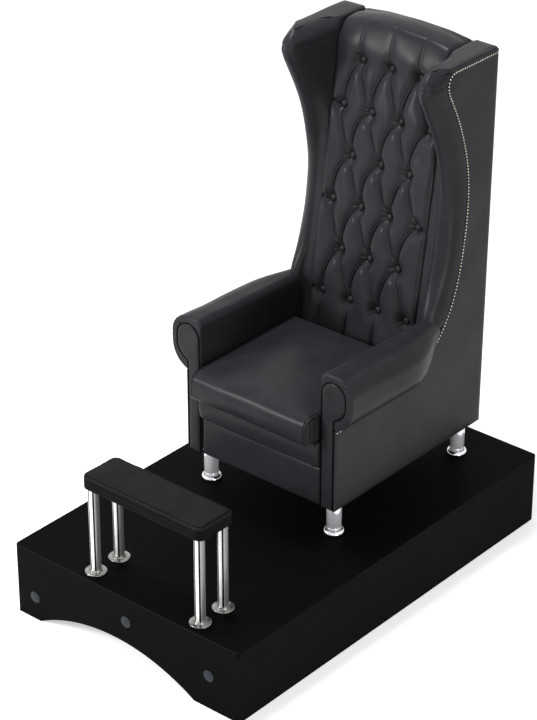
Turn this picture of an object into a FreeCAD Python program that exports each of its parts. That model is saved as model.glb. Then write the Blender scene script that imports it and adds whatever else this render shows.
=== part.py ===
import FreeCAD, Part
import os

from FreeCAD import Vector

# Pedicure spa chair: a tufted high-back armchair on a raised platform with a padded footrest.
# Millimetres, +Z up. The origin is the middle of the platform's underside and the chair faces -Y.
# Chair pieces are written in the chair's own frame (middle of the body's bottom front edge,
# y backwards) and moved onto the platform when they are saved.

# Platform
platform_width = 960.0
platform_length = 1550.0
platform_height = 262.0
deck_thickness = 18.0
deck_overhang = 4.0
deck_corner_radius = 14.0
deck_edge_round = 4.0
panel_thickness = 18.0
arch_center_x = -45.0
arch_width = 670.0
arch_height = 89.0
rib_thickness = 18.0
corner_block_size = 38.0
batten_depth = 30.0
batten_height = 40.0
stile_width = 40.0
stile_height = 160.0
cap_left_inset = 80.0
cap_left_height = 85.0
cap_middle_x = 5.0
cap_middle_height = 168.0
cap_right_inset = 128.0
cap_right_height = 122.0
cap_radius = 20.0
cap_rim_height = 1.4
cap_dome_radius = 15.0
cap_dome_height = 2.0
cap_screw_radius = 2.5
cap_screw_length = 40.0

# Footrest
footrest_center_x = 55.0
footrest_setback = 107.0
post_spacing_x = 443.0
post_spacing_y = 107.0
post_radius = 17.5
post_wall = 1.8
footrest_top_height = 365.0
pad_overhang_x = 11.0
pad_overhang_y = 8.0
pad_corner_radius = 26.0
footrest_board_thickness = 15.0
footrest_foam_height = 36.0
flange_radius = 36.0
flange_thickness = 3.5
flange_screw_circle = 27.0
flange_screws = 3
screw_radius = 2.0
screw_length = 14.0
screw_head_radius = 4.0
screw_head_height = 1.6
plug_height = 15.0
board_bolt_radius = 3.0
board_bolt_grip = 12.0
backing_margin = 30.0
backing_thickness = 18.0

# Chair body
chair_back_margin = 115.0
leg_height = 125.0
body_half_width = 315.0
body_depth = 780.0
side_height = 1345.0
outer_back_lean = 20.0
skin_thickness = 12.0
frame_sheet = 20.0
frame_clear_height = 4.0
crest_rise = 24.0
crest_front_slope = 18.0
crest_front_round = 37.0
crest_edge_drop = 16.0
crest_back_round = 30.0
crest_back_drop = 4.0
crest_bow = 6.0
crest_flat_bow = 2.0

# Inside back
wing_width = 96.0
back_rest_depth = 275.0
seat_line_height = 320.0
back_recline = 160.0 / 1035.0
back_pad_lift = 15.0
back_pad_depth = 46.0
crest_height = 43.0
crown_forward = 9.0
button_depth = 24.0
pleat_depth = 13.0
seam_depth = 10.0
tuft_rows = 6
first_tuft_row_lift = 96.0
last_tuft_row_drop = 65.0
tuft_side_inset = 42.0
button_radius = 11.0
button_thickness = 5.0
button_dome = 4.0
button_seat_gap = 0.8
button_sunk = 1.5
pleat_width = 12.0
border_width = 27.0
tufting_board_thickness = 6.0
back_post_width = 30.0
back_post_depth = 45.0
rail_depth = 25.0
low_cross_rail_height = 300.0
cross_rail_height = 60.0
outer_rail_gap = 1.0

# Arms
arm_width = 63.0
arm_end_inset = 260.0
arm_top_front = 495.0
arm_top_back = 478.0
arm_roll_overhang = 63.0
arm_inner_round = 22.0
arm_foam_over_frame = 66.0
arm_pad_lift = 5.0
arm_front_drop = 195.0
arm_back_drop = 61.0
arm_taper_length = 160.0
facing_thickness = 12.0
facing_inset = 24.0
facing_edge_gap = 2.0
facing_neck_drop = 162.0

# Wings: share of the way from the arm to the top, how far the front roll and the nail line
# lie ahead of the outside back's foot
wing_profile = (
    (0.0, 282.0, 214.0),
    (0.077, 256.0, 182.0),
    (0.187, 224.0, 155.0),
    (0.302, 206.0, 137.0),
    (0.429, 197.0, 128.0),
    (0.544, 207.0, 132.0),
    (0.671, 234.0, 156.0),
    (0.787, 275.0, 193.0),
    (0.879, 316.0, 233.0),
    (0.948, 333.0, 253.0),
    (1.0, 310.0, 224.0),
)
# The nail line under the arm: how far ahead of the outside back's foot, share of the way up
# from the arm's underside to the wing
arm_sweep = ((420.0, 0.0), (365.0, 0.084), (320.0, 0.279), (268.0, 0.597))
wing_seam_inset = 65.0
wing_crown_inset = 37.0
wing_roll_depth = 24.0
wing_inner_bow = 3.0
wing_roll_bow = 7.0
wing_outer_bow = 12.0
wing_foam = 34.0
wing_lid_inset = 1.0
wing_lid_slope = 7.0
wing_lid_height = 7.0
nail_trim_width = 9.0
nail_trim_thickness = 1.5
nail_trim_inset = 6.0

# Seat
rail_top_height = 135.0
front_rail_y = 24.0
web_rail_inset = 205.0
rail_thickness = 25.0
back_rail_height = 80.0
web_width = 50.0
web_thickness = 2.0
web_count = 6
web_edge_margin = 21.0
deck_pad_height = 101.0
deck_back_gap = 7.7
front_roll_bulge = 20.0
lower_panel_front = 4.0
front_roll_foot = 2.0
cushion_gap = 0.4
cushion_front = -65.0
cushion_back_gap = 5.0
cushion_side_gap = 3.0
cushion_edge_height = 98.0
cushion_crown = 12.0
cushion_side_bow = 3.0
cushion_end_round = 22.0
cushion_crown_run = 90.0
cushion_draw_in = 8.0
dust_cover_thickness = 2.0
dust_cover_inset = 2.0
seat_side_gap = 1.0

# Legs
leg_side_inset = 50.0
leg_front_y = 62.0
leg_back_inset = 55.0
leg_radius = 25.0
leg_wall = 2.0
plate_half = 38.0
leg_screw_offset = 28.0
leg_screw_length = 22.0
block_width = 60.0
block_depth = 70.0
block_height = 56.0
foot_radius = 35.0
foot_height = 18.0
foot_floor = 5.0
foot_base_inset = 3.0
foot_lip_width = 2.5
foot_lip_round = 1.5
foot_cup_gap = 0.6
foot_travel = 8.0
foot_stop_gap = 1.0
stem_radius = 5.0
stem_running_gap = 0.1
stem_length = 42.0
nut_height = 8.0
nut_lift = 22.0

# Worked out from the sizes above: the platform
front_y = -platform_length / 2
deck_underside = platform_height - deck_thickness
chair_setback = platform_length - body_depth - chair_back_margin
chair_origin = Vector(0, front_y + chair_setback, platform_height + leg_height)
platform_origin = Vector(0, front_y, 0)
panel_x = platform_width / 2 - deck_overhang
cap_spots = (
    (-platform_width / 2 + cap_left_inset, cap_left_height),
    (cap_middle_x, cap_middle_height),
    (platform_width / 2 - cap_right_inset, cap_right_height),
)

# The chair's sides and seat
sheet_outer_x = body_half_width - skin_thickness
sheet_inner_x = sheet_outer_x - frame_sheet
post_inner_x = sheet_inner_x - back_post_width
arm_inner_x = body_half_width - arm_width
arm_roll_outer_x = body_half_width + arm_roll_overhang
arm_end = body_depth - arm_end_inset
arm_taper_start = arm_end - arm_taper_length
arm_pad_bottom = rail_top_height + arm_pad_lift
arm_underside_front = arm_top_front - arm_front_drop
arm_underside_back = arm_top_back - arm_back_drop
arm_frame_top = arm_top_front - arm_foam_over_frame - (arm_top_front - arm_top_back) / 2
facing_neck_height = arm_top_front - facing_neck_drop
leg_x = body_half_width - leg_side_inset
leg_back_y = body_depth - leg_back_inset
web_rail_y = body_depth - web_rail_inset
deck_pad_low = rail_top_height + web_thickness
deck_pad_top = deck_pad_low + deck_pad_height
seat_half_width = arm_inner_x - seat_side_gap
web_pitch = 2 * (seat_half_width - web_edge_margin - web_width / 2) / (web_count - 1)

# The chair's back and wings
back_half_width = body_half_width - wing_width
back_pad_bottom = rail_top_height + back_pad_lift
back_pad_top = side_height - crest_height
board_back_depth = back_pad_depth + tufting_board_thickness
first_tuft_row_height = deck_pad_top + cushion_edge_height + first_tuft_row_lift
last_tuft_row_height = back_pad_top - last_tuft_row_drop
tuft_row_pitch = (last_tuft_row_height - first_tuft_row_height) / (tuft_rows - 1)
tuft_column_pitch = 2 * (back_half_width - tuft_side_inset) / 3
top_cross_rail_height = back_pad_top - cross_rail_height
wing_inner_x = body_half_width - wing_seam_inset
wing_crown_x = body_half_width - wing_crown_inset
wing_top_height = side_height + wing_lid_height
wing_foot_height = arm_top_back
wing_stations = [
    (wing_foot_height + part * (side_height - wing_foot_height), body_depth - front, body_depth - nail)
    for part, front, nail in wing_profile
]
sweep_points = [
    (body_depth - ahead, arm_underside_front + part * (wing_foot_height - arm_underside_front))
    for ahead, part in arm_sweep
]
ORIGIN = Vector(0, 0, 0)


def block(x_range, y_range, z_range):
    """A box between two corners."""
    size = [high - low for low, high in (x_range, y_range, z_range)]
    return Part.makeBox(*size, Vector(x_range[0], y_range[0], z_range[0]))


def centered_board(half_width, y_range, z_range):
    """A box that is as wide on both sides of the middle."""
    return block((-half_width, half_width), y_range, z_range)


def cylinder(radius, height, base, direction=Vector(0, 0, 1)):
    """A round bar from its base point."""
    return Part.makeCylinder(radius, height, base, direction)


def tube(radius, wall, height, base):
    """An upright round tube."""
    return cylinder(radius, height, base).cut(cylinder(radius - wall, height, base))


def line(start, end):
    """A straight edge."""
    return Part.LineSegment(start, end).toShape()


def bowed(start, end, outward, sagitta):
    """An arc whose middle stands off its chord by the sagitta."""
    middle = (start + end) * 0.5 + outward * sagitta
    return Part.Arc(start, middle, end).toShape()


def quarter(start, corner, end):
    """A quarter round from start to end, around the side of the given corner."""
    center = start + end - corner
    reach = (corner - center) * (0.5 ** 0.5)
    return Part.Arc(start, center + reach, end).toShape()


def filled(edges):
    """A flat face inside edges given in order."""
    return Part.Face(Part.Wire(edges))


def outline(points):
    """A closed polygon's face."""
    return Part.Face(Part.makePolygon(list(points) + [points[0]]))


def side_outline(points, x_low, x_high):
    """A plate whose corners are given as (y, z), between two x values."""
    face = outline([Vector(x_low, y, z) for y, z in points])
    return face.extrude(Vector(x_high - x_low, 0, 0))


def smooth_edge(points):
    """A smooth curve through points."""
    curve = Part.BSplineCurve()
    curve.interpolate(points)
    return curve.toShape()


def loft(wires, ruled=True):
    """A closed solid through flat closed wires."""
    return Part.makeLoft(wires, True, ruled)


def mirrored(shape):
    """The same shape on the chair's other side."""
    return shape.mirror(ORIGIN, Vector(1, 0, 0))


def save(name, shape, origin=ORIGIN):
    """Write one sub-part at its place in the whole."""
    placed = shape.copy()
    placed.translate(origin)
    assert placed.Solids and placed.isValid(), name
    placed.exportStep(os.path.join("parts", name + ".step"))


def save_pair(name, right_shape, origin):
    """Write the right-hand piece and its mirror image."""
    save("right_" + name, right_shape, origin)
    save("left_" + name, mirrored(right_shape), origin)


def save_group(name, shapes, origin=ORIGIN):
    """Write several separate solids as one sub-part."""
    save(name, Part.makeCompound(shapes), origin)


# The inside back leans back from the seat line

def back_y(height):
    """How far back the inside back's crown plane lies at a height."""
    return body_depth - back_rest_depth + back_recline * (height - seat_line_height)


def outer_y(height):
    """How far back the outside of the chair lies at a height."""
    return body_depth + outer_back_lean * height / side_height


def leaning_bar(x_range, depth_range, z_range):
    """A bar that follows the inside back's lean, at depths behind its crown plane."""
    low, high = z_range
    front, rear = depth_range
    corners = (
        (back_y(low) + front, low),
        (back_y(low) + rear, low),
        (back_y(high) + rear, high),
        (back_y(high) + front, high),
    )
    return side_outline(corners, *x_range)


# Platform

def platform_deck():
    """The top board, with rounded corners and a rounded top edge."""
    deck = centered_board(
        platform_width / 2, (0, platform_length), (deck_underside, platform_height)
    )
    upright = [e for e in deck.Edges if abs(e.Vertexes[0].Z - e.Vertexes[1].Z) > 1]
    deck = deck.makeFillet(deck_corner_radius, upright)
    rim = [e for e in deck.Edges if e.BoundBox.ZMin > platform_height - 0.01]
    deck = deck.makeFillet(deck_edge_round, rim)
    return drilled(deck, footrest_floor_screws())


def front_panel():
    """The front board with its wide low arch."""
    y_range = (deck_overhang, deck_overhang + panel_thickness)
    board = centered_board(panel_x, y_range, (0, deck_underside))
    low_left = Vector(arch_center_x - arch_width / 2, 0, 0)
    low_right = Vector(arch_center_x + arch_width / 2, 0, 0)
    crown = Vector(arch_center_x, 0, arch_height)
    bow = Part.Arc(low_left, crown, low_right).toShape()
    opening = filled([bow, line(low_right, low_left)])
    opening = opening.extrude(Vector(0, deck_overhang + panel_thickness, 0))
    return drilled(board.cut(opening), cap_screws())


def back_panel():
    """The plain board at the platform's back."""
    back = platform_length - deck_overhang
    return centered_board(panel_x, (back - panel_thickness, back), (0, deck_underside))


def side_panel_board():
    """The right-hand side board, between the front and back boards."""
    front = deck_overhang + panel_thickness
    y_range = (front, platform_length - front)
    return block((panel_x - panel_thickness, panel_x), y_range, (0, deck_underside))


def rib_setbacks():
    """How far back the ribs lie: under the legs, between them and behind the footrest."""
    front = chair_setback + leg_front_y
    back = chair_setback + leg_back_y
    behind_battens = deck_overhang + panel_thickness + batten_depth
    return ((behind_battens + front) / 2, front, (front + back) / 2, back)


def platform_ribs():
    """Boards on edge that carry the deck."""
    half = panel_x - panel_thickness
    ribs = []
    for setback in rib_setbacks():
        y_range = (setback - rib_thickness / 2, setback + rib_thickness / 2)
        ribs.append(centered_board(half, y_range, (0, deck_underside)))
    return ribs


def corner_blocks():
    """Square blocks that join the boards at the platform's corners."""
    inner = panel_x - panel_thickness
    front = deck_overhang + panel_thickness
    back = platform_length - front
    blocks = []
    for y_range in ((front, front + corner_block_size), (back - corner_block_size, back)):
        for x_range in ((-inner, -inner + corner_block_size), (inner - corner_block_size, inner)):
            blocks.append(block(x_range, y_range, (0, deck_underside)))
    return blocks


def front_battens():
    """The batten and the two stiles behind the front board, which take the cap screws."""
    y_range = (deck_overhang + panel_thickness, deck_overhang + panel_thickness + batten_depth)
    left, middle, right = cap_spots
    pieces = []
    for x, _height in (left, right):
        pieces.append(block((x - stile_width / 2, x + stile_width / 2), y_range, (0, stile_height)))
    batten_bottom = middle[1] - batten_height / 2
    batten_half = panel_x - panel_thickness - corner_block_size
    batten = centered_board(batten_half, y_range, (batten_bottom, batten_bottom + batten_height))
    pieces = [piece.cut(batten) for piece in pieces] + [batten]
    return [drilled(piece, cap_screws()) for piece in pieces]


def cap_covers():
    """Round caps with a rim and a low dome, on the front board."""
    outward = Vector(0, -1, 0)
    caps = []
    for x, height in cap_spots:
        rim = cylinder(cap_radius, cap_rim_height, Vector(x, deck_overhang, height), outward)
        dome_base = Vector(x, deck_overhang - cap_rim_height, height)
        dome = Part.makeCone(
            cap_dome_radius, cap_dome_radius * 0.7, cap_dome_height, dome_base, outward
        )
        caps.append(rim.fuse(dome).removeSplitter())
    return caps


def cap_screws():
    """The screws behind the caps."""
    backward = Vector(0, 1, 0)
    return [
        cylinder(cap_screw_radius, cap_screw_length, Vector(x, deck_overhang, height), backward)
        for x, height in cap_spots
    ]


def drilled(shape, screws):
    """The shape with holes that its screws fill."""
    return shape.cut(Part.makeCompound(screws))


# Footrest

def post_spots():
    """The four posts' middles on the deck, front left first."""
    spots = []
    for y in (-post_spacing_y / 2, post_spacing_y / 2):
        for x in (-post_spacing_x / 2, post_spacing_x / 2):
            spots.append((footrest_center_x + x, footrest_setback + y))
    return spots


def footrest_levels():
    """Heights of the board's underside and the foam's underside."""
    foam_low = platform_height + footrest_top_height - footrest_foam_height
    return foam_low - footrest_board_thickness, foam_low


def around_flange(x, y):
    """The screws' places around one flange."""
    arm = Vector(0, flange_screw_circle, 0)
    spots = []
    for index in range(flange_screws):
        turn = FreeCAD.Rotation(Vector(0, 0, 1), 360.0 * index / flange_screws)
        spots.append(Vector(x, y, 0) + turn.multVec(arm))
    return spots


def wood_screw(top, direction):
    """A pan-head screw whose head rests at the given point and whose shank runs along direction."""
    head = cylinder(screw_head_radius, screw_head_height, top, direction * -1)
    start = top - direction * (screw_head_height / 2)
    shank = cylinder(screw_radius, screw_length + screw_head_height / 2, start, direction)
    return head.fuse(shank).removeSplitter()


def footrest_floor_screws():
    """Screws through the lower flanges into the deck."""
    top = platform_height + flange_thickness
    screws = []
    for x, y in post_spots():
        for spot in around_flange(x, y):
            screws.append(wood_screw(Vector(spot.x, spot.y, top), Vector(0, 0, -1)))
    return screws


def footrest_board_bolts():
    """One bolt up through each post's plug into the footrest board."""
    board_low = footrest_levels()[0]
    length = plug_height + board_bolt_grip
    bolts = []
    for x, y in post_spots():
        base = Vector(x, y, board_low - plug_height)
        bolts.append(cylinder(board_bolt_radius, length, base))
    return bolts


def post_plugs():
    """The plugs inside the posts' upper ends, drilled for their bolts."""
    base_height = footrest_levels()[0] - plug_height
    plugs = []
    for x, y in post_spots():
        plug = cylinder(post_radius - post_wall, plug_height, Vector(x, y, base_height))
        plugs.append(drilled(plug, footrest_board_bolts()))
    return plugs


def floor_flanges():
    """Four flat round flanges, drilled for their screws."""
    screws = footrest_floor_screws()
    discs = []
    for x, y in post_spots():
        disc = cylinder(flange_radius, flange_thickness, Vector(x, y, platform_height))
        discs.append(drilled(disc, screws))
    return discs


def footrest_post(spot):
    """One chrome tube from its flange up to the board."""
    bottom = platform_height + flange_thickness
    height = footrest_levels()[0] - bottom
    return tube(post_radius, post_wall, height, Vector(spot[0], spot[1], bottom))


def rounded_plan(inset, height):
    """The footrest's plan outline, drawn in by an inset, at a height."""
    half_x = post_spacing_x / 2 + post_radius + pad_overhang_x - inset
    half_y = post_spacing_y / 2 + post_radius + pad_overhang_y - inset
    radius = max(pad_corner_radius - inset, 4.0)
    x, y = footrest_center_x, footrest_setback
    edges = []
    signs = ((1, -1), (1, 1), (-1, 1), (-1, -1))
    for index, (sx, sy) in enumerate(signs):
        corner = Vector(x + sx * half_x, y + sy * half_y, height)
        along_x = corner - Vector(sx * radius, 0, 0)
        along_y = corner - Vector(0, sy * radius, 0)
        first, second = (along_x, along_y) if index % 2 == 0 else (along_y, along_x)
        if edges:
            edges.append(line(edges[-1].Vertexes[-1].Point, first))
        edges.append(quarter(first, corner, second))
    edges.append(line(edges[-1].Vertexes[-1].Point, edges[0].Vertexes[0].Point))
    return Part.Wire(edges)


def footrest_board():
    """The plywood board under the footrest's foam."""
    low, high = footrest_levels()
    board = Part.Face(rounded_plan(1.5, low)).extrude(Vector(0, 0, high - low))
    return drilled(board, footrest_board_bolts())


def footrest_cushion():
    """The foam pad: bulged sides, a drawn-in seam and a crowned top."""
    low = footrest_levels()[1]
    shape = (
        (2.0, 0.0),
        (0.0, 0.30),
        (0.0, 0.55),
        (2.5, 0.72),
        (5.0, 0.80),
        (9.0, 0.90),
        (24.0, 0.97),
        (50.0, 1.0),
    )
    wires = [rounded_plan(inset, low + part * footrest_foam_height) for inset, part in shape]
    return loft(wires)


def footrest_backing():
    """The board under the deck that the lower flange screws pull against."""
    half_x = post_spacing_x / 2 + flange_radius + backing_margin
    y_low = deck_overhang + panel_thickness + batten_depth
    y_high = footrest_setback + post_spacing_y / 2 + flange_radius + backing_margin
    x_range = (footrest_center_x - half_x, footrest_center_x + half_x)
    return block(x_range, (y_low, y_high), (deck_underside - backing_thickness, deck_underside))


# Wing and arm profiles

def nail_points():
    """The nail line's points from under the arm to the wing's top, as (y, z)."""
    return sweep_points + [(nail, height) for height, _front, nail in wing_stations]


def nail_curve(x):
    """The nail line as a smooth edge at one x."""
    return smooth_edge([Vector(x, y, z) for y, z in nail_points()])


def outer_side_panel():
    """The right-hand outer side: one flat padded panel from the front foot to the top back corner."""
    x = sheet_outer_x
    curve = nail_curve(x)
    low_front = Vector(x, 0, 0)
    high_front = Vector(x, 0, arm_underside_front)
    sweep_start = curve.Vertexes[0].Point
    top_front = curve.Vertexes[-1].Point
    top_back = Vector(x, outer_y(side_height), side_height)
    low_back = Vector(x, outer_y(0), 0)
    edges = [
        line(low_front, high_front),
        line(high_front, sweep_start),
        curve,
        line(top_front, top_back),
        line(top_back, low_back),
        line(low_back, low_front),
    ]
    panel = filled(edges).extrude(Vector(skin_thickness, 0, 0))
    return panel.cut(facing_space())


def side_frame():
    """The right-hand plywood side, in one sheet from the arm's front to the wing's top."""
    x = sheet_inner_x
    z_low = frame_clear_height
    front = facing_thickness
    back = skin_thickness
    top = back_pad_top
    wing_edge = [Vector(x, y + wing_foam, z) for z, y, _nail in wing_stations if z < top]
    curve = smooth_edge(wing_edge)
    points = [
        Vector(x, outer_y(top) - back, top),
        Vector(x, outer_y(z_low) - back, z_low),
        Vector(x, front, z_low),
        Vector(x, front, arm_frame_top),
        Vector(x, arm_end, arm_frame_top),
        wing_edge[0],
    ]
    crown = wing_edge[-1]
    edges = [line(Vector(x, crown.y, top), points[0])]
    edges += [line(a, b) for a, b in zip(points, points[1:])]
    edges.append(curve)
    if crown.z < top:
        edges.append(line(crown, Vector(x, crown.y, top)))
    sheet = filled(edges).extrude(Vector(frame_sheet, 0, 0))
    return drilled(sheet, leg_screws())


def facing_space(margin=0.0):
    """The keyhole outline of the right arm's front facing, as a solid that fills its place."""
    inner = arm_inner_x + facing_edge_gap
    outer = body_half_width
    roll_outer = arm_roll_outer_x - facing_inset
    radius = (roll_outer - inner) / 2
    spring = arm_top_front - facing_inset - radius
    corners = [
        Vector(inner, 0, 0),
        Vector(inner, 0, spring),
        Vector(inner + radius, 0, spring + radius),
        Vector(roll_outer, 0, spring),
        Vector(roll_outer, 0, spring - radius * 0.8),
        Vector(outer, 0, facing_neck_height),
        Vector(outer, 0, 0),
    ]
    edges = [
        line(corners[0], corners[1]),
        quarter(corners[1], Vector(inner, 0, spring + radius), corners[2]),
        quarter(corners[2], Vector(roll_outer, 0, spring + radius), corners[3]),
        line(corners[3], corners[4]),
        bowed(corners[4], corners[5], Vector(1, 0, -1).normalize(), radius * 0.16),
        line(corners[5], corners[6]),
        line(corners[6], corners[0]),
    ]
    face = filled(edges)
    face.translate(Vector(0, -margin, 0))
    return face.extrude(Vector(0, facing_thickness + margin, 0))


def arm_section(y, drawn_in, outer_x, top, underside):
    """The right arm pad's section: inner face, rolled top, bulge and underside, over the frame."""
    inner = arm_inner_x + drawn_in
    outer = outer_x - drawn_in
    crest = top - drawn_in
    radius = (outer - inner) / 2
    spring = crest - radius
    underside = underside + drawn_in
    fall = underside + (spring - underside) * 0.55
    corners = [
        Vector(inner, y, arm_pad_bottom),
        Vector(inner, y, crest - arm_inner_round),
        Vector(inner + arm_inner_round, y, crest),
        Vector(inner + radius, y, crest),
        Vector(outer, y, spring),
        Vector(outer, y, fall),
        Vector(body_half_width, y, underside),
        Vector(sheet_outer_x, y, underside),
        Vector(sheet_outer_x, y, arm_frame_top),
        Vector(sheet_inner_x, y, arm_frame_top),
        Vector(sheet_inner_x, y, arm_pad_bottom),
    ]
    bulge = (outer - body_half_width) * 0.2
    edges = [
        line(corners[0], corners[1]),
        quarter(corners[1], Vector(inner, y, crest), corners[2]),
        line(corners[2], corners[3]),
        quarter(corners[3], Vector(outer, y, crest), corners[4]),
        line(corners[4], corners[5]),
        bowed(corners[5], corners[6], Vector(1, 0, -1).normalize(), bulge),
    ]
    edges += [line(a, b) for a, b in zip(corners[6:], corners[7:] + corners[:1])]
    return Part.Wire(edges)


def arm_pad():
    """The right arm's foam: upright inside, rolled over the top and outwards, fading into the wing."""
    taper_middle = (arm_taper_start + arm_end) / 2
    low, high = arm_underside_front, arm_underside_back
    slope = (arm_top_front - arm_top_back) / wing_stations[0][1]
    merged_x = body_half_width + 1.0
    taper_x = merged_x + (arm_roll_outer_x - merged_x) * 0.62
    stations = (
        (1.0, 6.0, arm_roll_outer_x, low),
        (8.0, 1.0, arm_roll_outer_x, low),
        (18.0, 0.0, arm_roll_outer_x, low),
        (arm_taper_start, 0.0, arm_roll_outer_x, low),
        (taper_middle, 0.0, taper_x, low + (high - low) * 0.3),
        (arm_end, 0.0, merged_x, high),
    )
    wires = []
    for y, drawn_in, outer_x, underside in stations:
        wires.append(arm_section(y, drawn_in, outer_x, arm_top_front - slope * y, underside))
    return loft(wires).cut(facing_space(margin=2.0))


def wing_section(height, front, nail):
    """The right wing's level section: inner face, rolled front and the return to the nail line."""
    crease = back_y(height) + seam_depth
    rear = outer_y(back_pad_top) - skin_thickness
    corners = [
        Vector(back_half_width, rear, height),
        Vector(back_half_width, crease, height),
        Vector(wing_inner_x, front + wing_roll_depth, height),
        Vector(wing_crown_x, front, height),
        Vector(body_half_width, nail, height),
        Vector(sheet_outer_x, nail, height),
        Vector(sheet_outer_x, rear, height),
    ]
    edges = [
        line(corners[0], corners[1]),
        bowed(corners[1], corners[2], Vector(-1, 0, 0), wing_inner_bow),
        bowed(corners[2], corners[3], Vector(-1, -1, 0).normalize(), wing_roll_bow),
        bowed(corners[3], corners[4], Vector(1, -1, 0).normalize(), wing_outer_bow),
    ]
    edges += [line(a, b) for a, b in zip(corners[4:], corners[5:] + corners[:1])]
    return Part.Wire(edges)


def wing():
    """The right wing's foam, from the seat's side up to the rounded top, around its plywood."""
    wires = [wing_section(*station) for station in wing_stations]
    foam = loft(wires, ruled=False).fuse([wing_foot(), wing_lid()])
    hollow = leaning_bar(
        (back_half_width, sheet_outer_x),
        (back_pad_depth, body_depth),
        (wing_foot_height, back_pad_top),
    )
    return foam.cut([side_frame(), hollow]).removeSplitter()


def wing_foot():
    """The wing's foam beside the seat, behind the arm."""
    height = wing_foot_height
    inner_corners = (
        (arm_end, arm_pad_bottom),
        (back_y(arm_pad_bottom) + back_pad_depth, arm_pad_bottom),
        (back_y(height) + back_pad_depth, height),
        (arm_end, height),
    )
    inner = side_outline(inner_corners, back_half_width, sheet_inner_x)
    x = sheet_outer_x
    start = Vector(x, arm_end, arm_underside_back)
    end = Vector(x, wing_stations[0][2], height)
    corner = Vector(x, arm_end, height)
    cheek = filled([line(start, end), line(end, corner), line(corner, start)])
    return inner.fuse(cheek.extrude(Vector(skin_thickness, 0, 0)))


def wing_lid():
    """The padded cap on the wing, which also covers the top edges of the side and the outside back."""
    outer = outer_y(side_height)
    _height, top_front, top_nail = wing_stations[-1]
    plan = [
        Vector(back_half_width, back_y(side_height) + seam_depth, side_height),
        Vector(wing_inner_x, top_front + wing_roll_depth, side_height),
        Vector(wing_crown_x, top_front, side_height),
        Vector(body_half_width, top_nail, side_height),
        Vector(body_half_width, outer, side_height),
        Vector(back_half_width, outer, side_height),
    ]
    low = level_outline(plan, wing_lid_inset)
    high = level_outline(plan, wing_lid_inset + wing_lid_slope, wing_top_height - side_height)
    return loft([low, high])


def level_outline(points, drawn_in, lift=0.0):
    """A closed wire through points, drawn in evenly and lifted."""
    wire = Part.makePolygon(points + [points[0]])
    wire = wire.makeOffset2D(-drawn_in, 2)
    wire.translate(Vector(0, 0, lift))
    return wire


def crest():
    """The padded roll over the top of the inside back, arched in the middle."""
    wires = []
    for part in (-1.0, -0.5, 0.0, 0.5, 1.0):
        x = back_half_width * part
        top = wing_top_height + crest_rise * (1 - part * part)
        front = back_y(back_pad_top) - crown_forward / 2
        rear = outer_y(side_height)
        inner_rear = outer_y(back_pad_top) - skin_thickness
        corners = [
            Vector(x, front, back_pad_top),
            Vector(x, front + crest_front_slope, top - crest_edge_drop),
            Vector(x, front + crest_front_slope + crest_front_round, top),
            Vector(x, rear - crest_back_round, top - crest_back_drop),
            Vector(x, rear, side_height),
            Vector(x, inner_rear, side_height),
            Vector(x, inner_rear, back_pad_top),
        ]
        edges = [
            bowed(corners[0], corners[1], Vector(0, -1, 0), crest_flat_bow),
            bowed(corners[1], corners[2], Vector(0, -1, 1).normalize(), crest_bow),
            bowed(corners[2], corners[3], Vector(0, 0, 1), crest_flat_bow),
            bowed(corners[3], corners[4], Vector(0, 1, 1).normalize(), crest_bow),
        ]
        edges += [line(a, b) for a, b in zip(corners[4:], corners[5:] + corners[:1])]
        wires.append(Part.Wire(edges))
    return loft(wires)


def outside_back_panel():
    """The flat padded panel behind the chair, between the two sides."""
    corners = (
        (outer_y(0) - skin_thickness, 0),
        (outer_y(0), 0),
        (outer_y(side_height), side_height),
        (outer_y(side_height) - skin_thickness, side_height),
    )
    return side_outline(corners, -sheet_outer_x, sheet_outer_x)


def nail_trim():
    """The thin strip that carries the nailheads: down the wing's edge and along its top."""
    x = body_half_width
    inset = nail_trim_inset
    low = sweep_points[-1][1]
    points = [point for point in nail_points() if low <= point[1] < side_height]
    front = smooth_edge([Vector(x, y + inset, z) for y, z in points])
    rear = smooth_edge([Vector(x, y + inset + nail_trim_width, z) for y, z in points])
    low_front, high_front = front.Vertexes[0].Point, front.Vertexes[-1].Point
    low_rear, high_rear = rear.Vertexes[0].Point, rear.Vertexes[-1].Point
    top = side_height - inset
    under = top - nail_trim_width
    end = outer_y(side_height) - inset
    turn = high_rear.y + nail_trim_width
    points = [
        high_front,
        Vector(x, turn, top),
        Vector(x, end, top),
        Vector(x, end, under),
        Vector(x, turn + nail_trim_width / 2, under),
        high_rear,
    ]
    edges = [front] + [line(a, b) for a, b in zip(points, points[1:])]
    edges += [rear, line(low_rear, low_front)]
    return filled(Part.sortEdges(edges)[0]).extrude(Vector(nail_trim_thickness, 0, 0))


# Tufted inside back

def tuft_rows_list():
    """Each button row's height and its number of buttons, lowest row first."""
    rows = []
    for index in range(tuft_rows):
        count = 4 if index % 2 == 0 else 3
        rows.append((first_tuft_row_height + index * tuft_row_pitch, count))
    return rows


def button_spots():
    """Every button's (x, height)."""
    spots = []
    for height, count in tuft_rows_list():
        for index in range(count):
            spots.append(((index - (count - 1) / 2) * tuft_column_pitch, height))
    return spots


def narrow_columns(count):
    """The columns, in half pitches from the middle, that a row's buttons draw in."""
    return {2 * index - (count - 1) for index in range(count)}


def tuft_boundaries(narrow, narrow_width, spread):
    """The x of the valleys between columns, where spread opens the drawn-in columns."""
    half = tuft_column_pitch / 2
    closed = narrow_width / 2
    width = closed + (half - closed) * spread
    valleys = []
    for column in range(-3, 3):
        middle = column * half
        if column in narrow:
            valleys.append(middle + width)
        else:
            valleys.append(middle + half - width)
    return valleys


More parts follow.
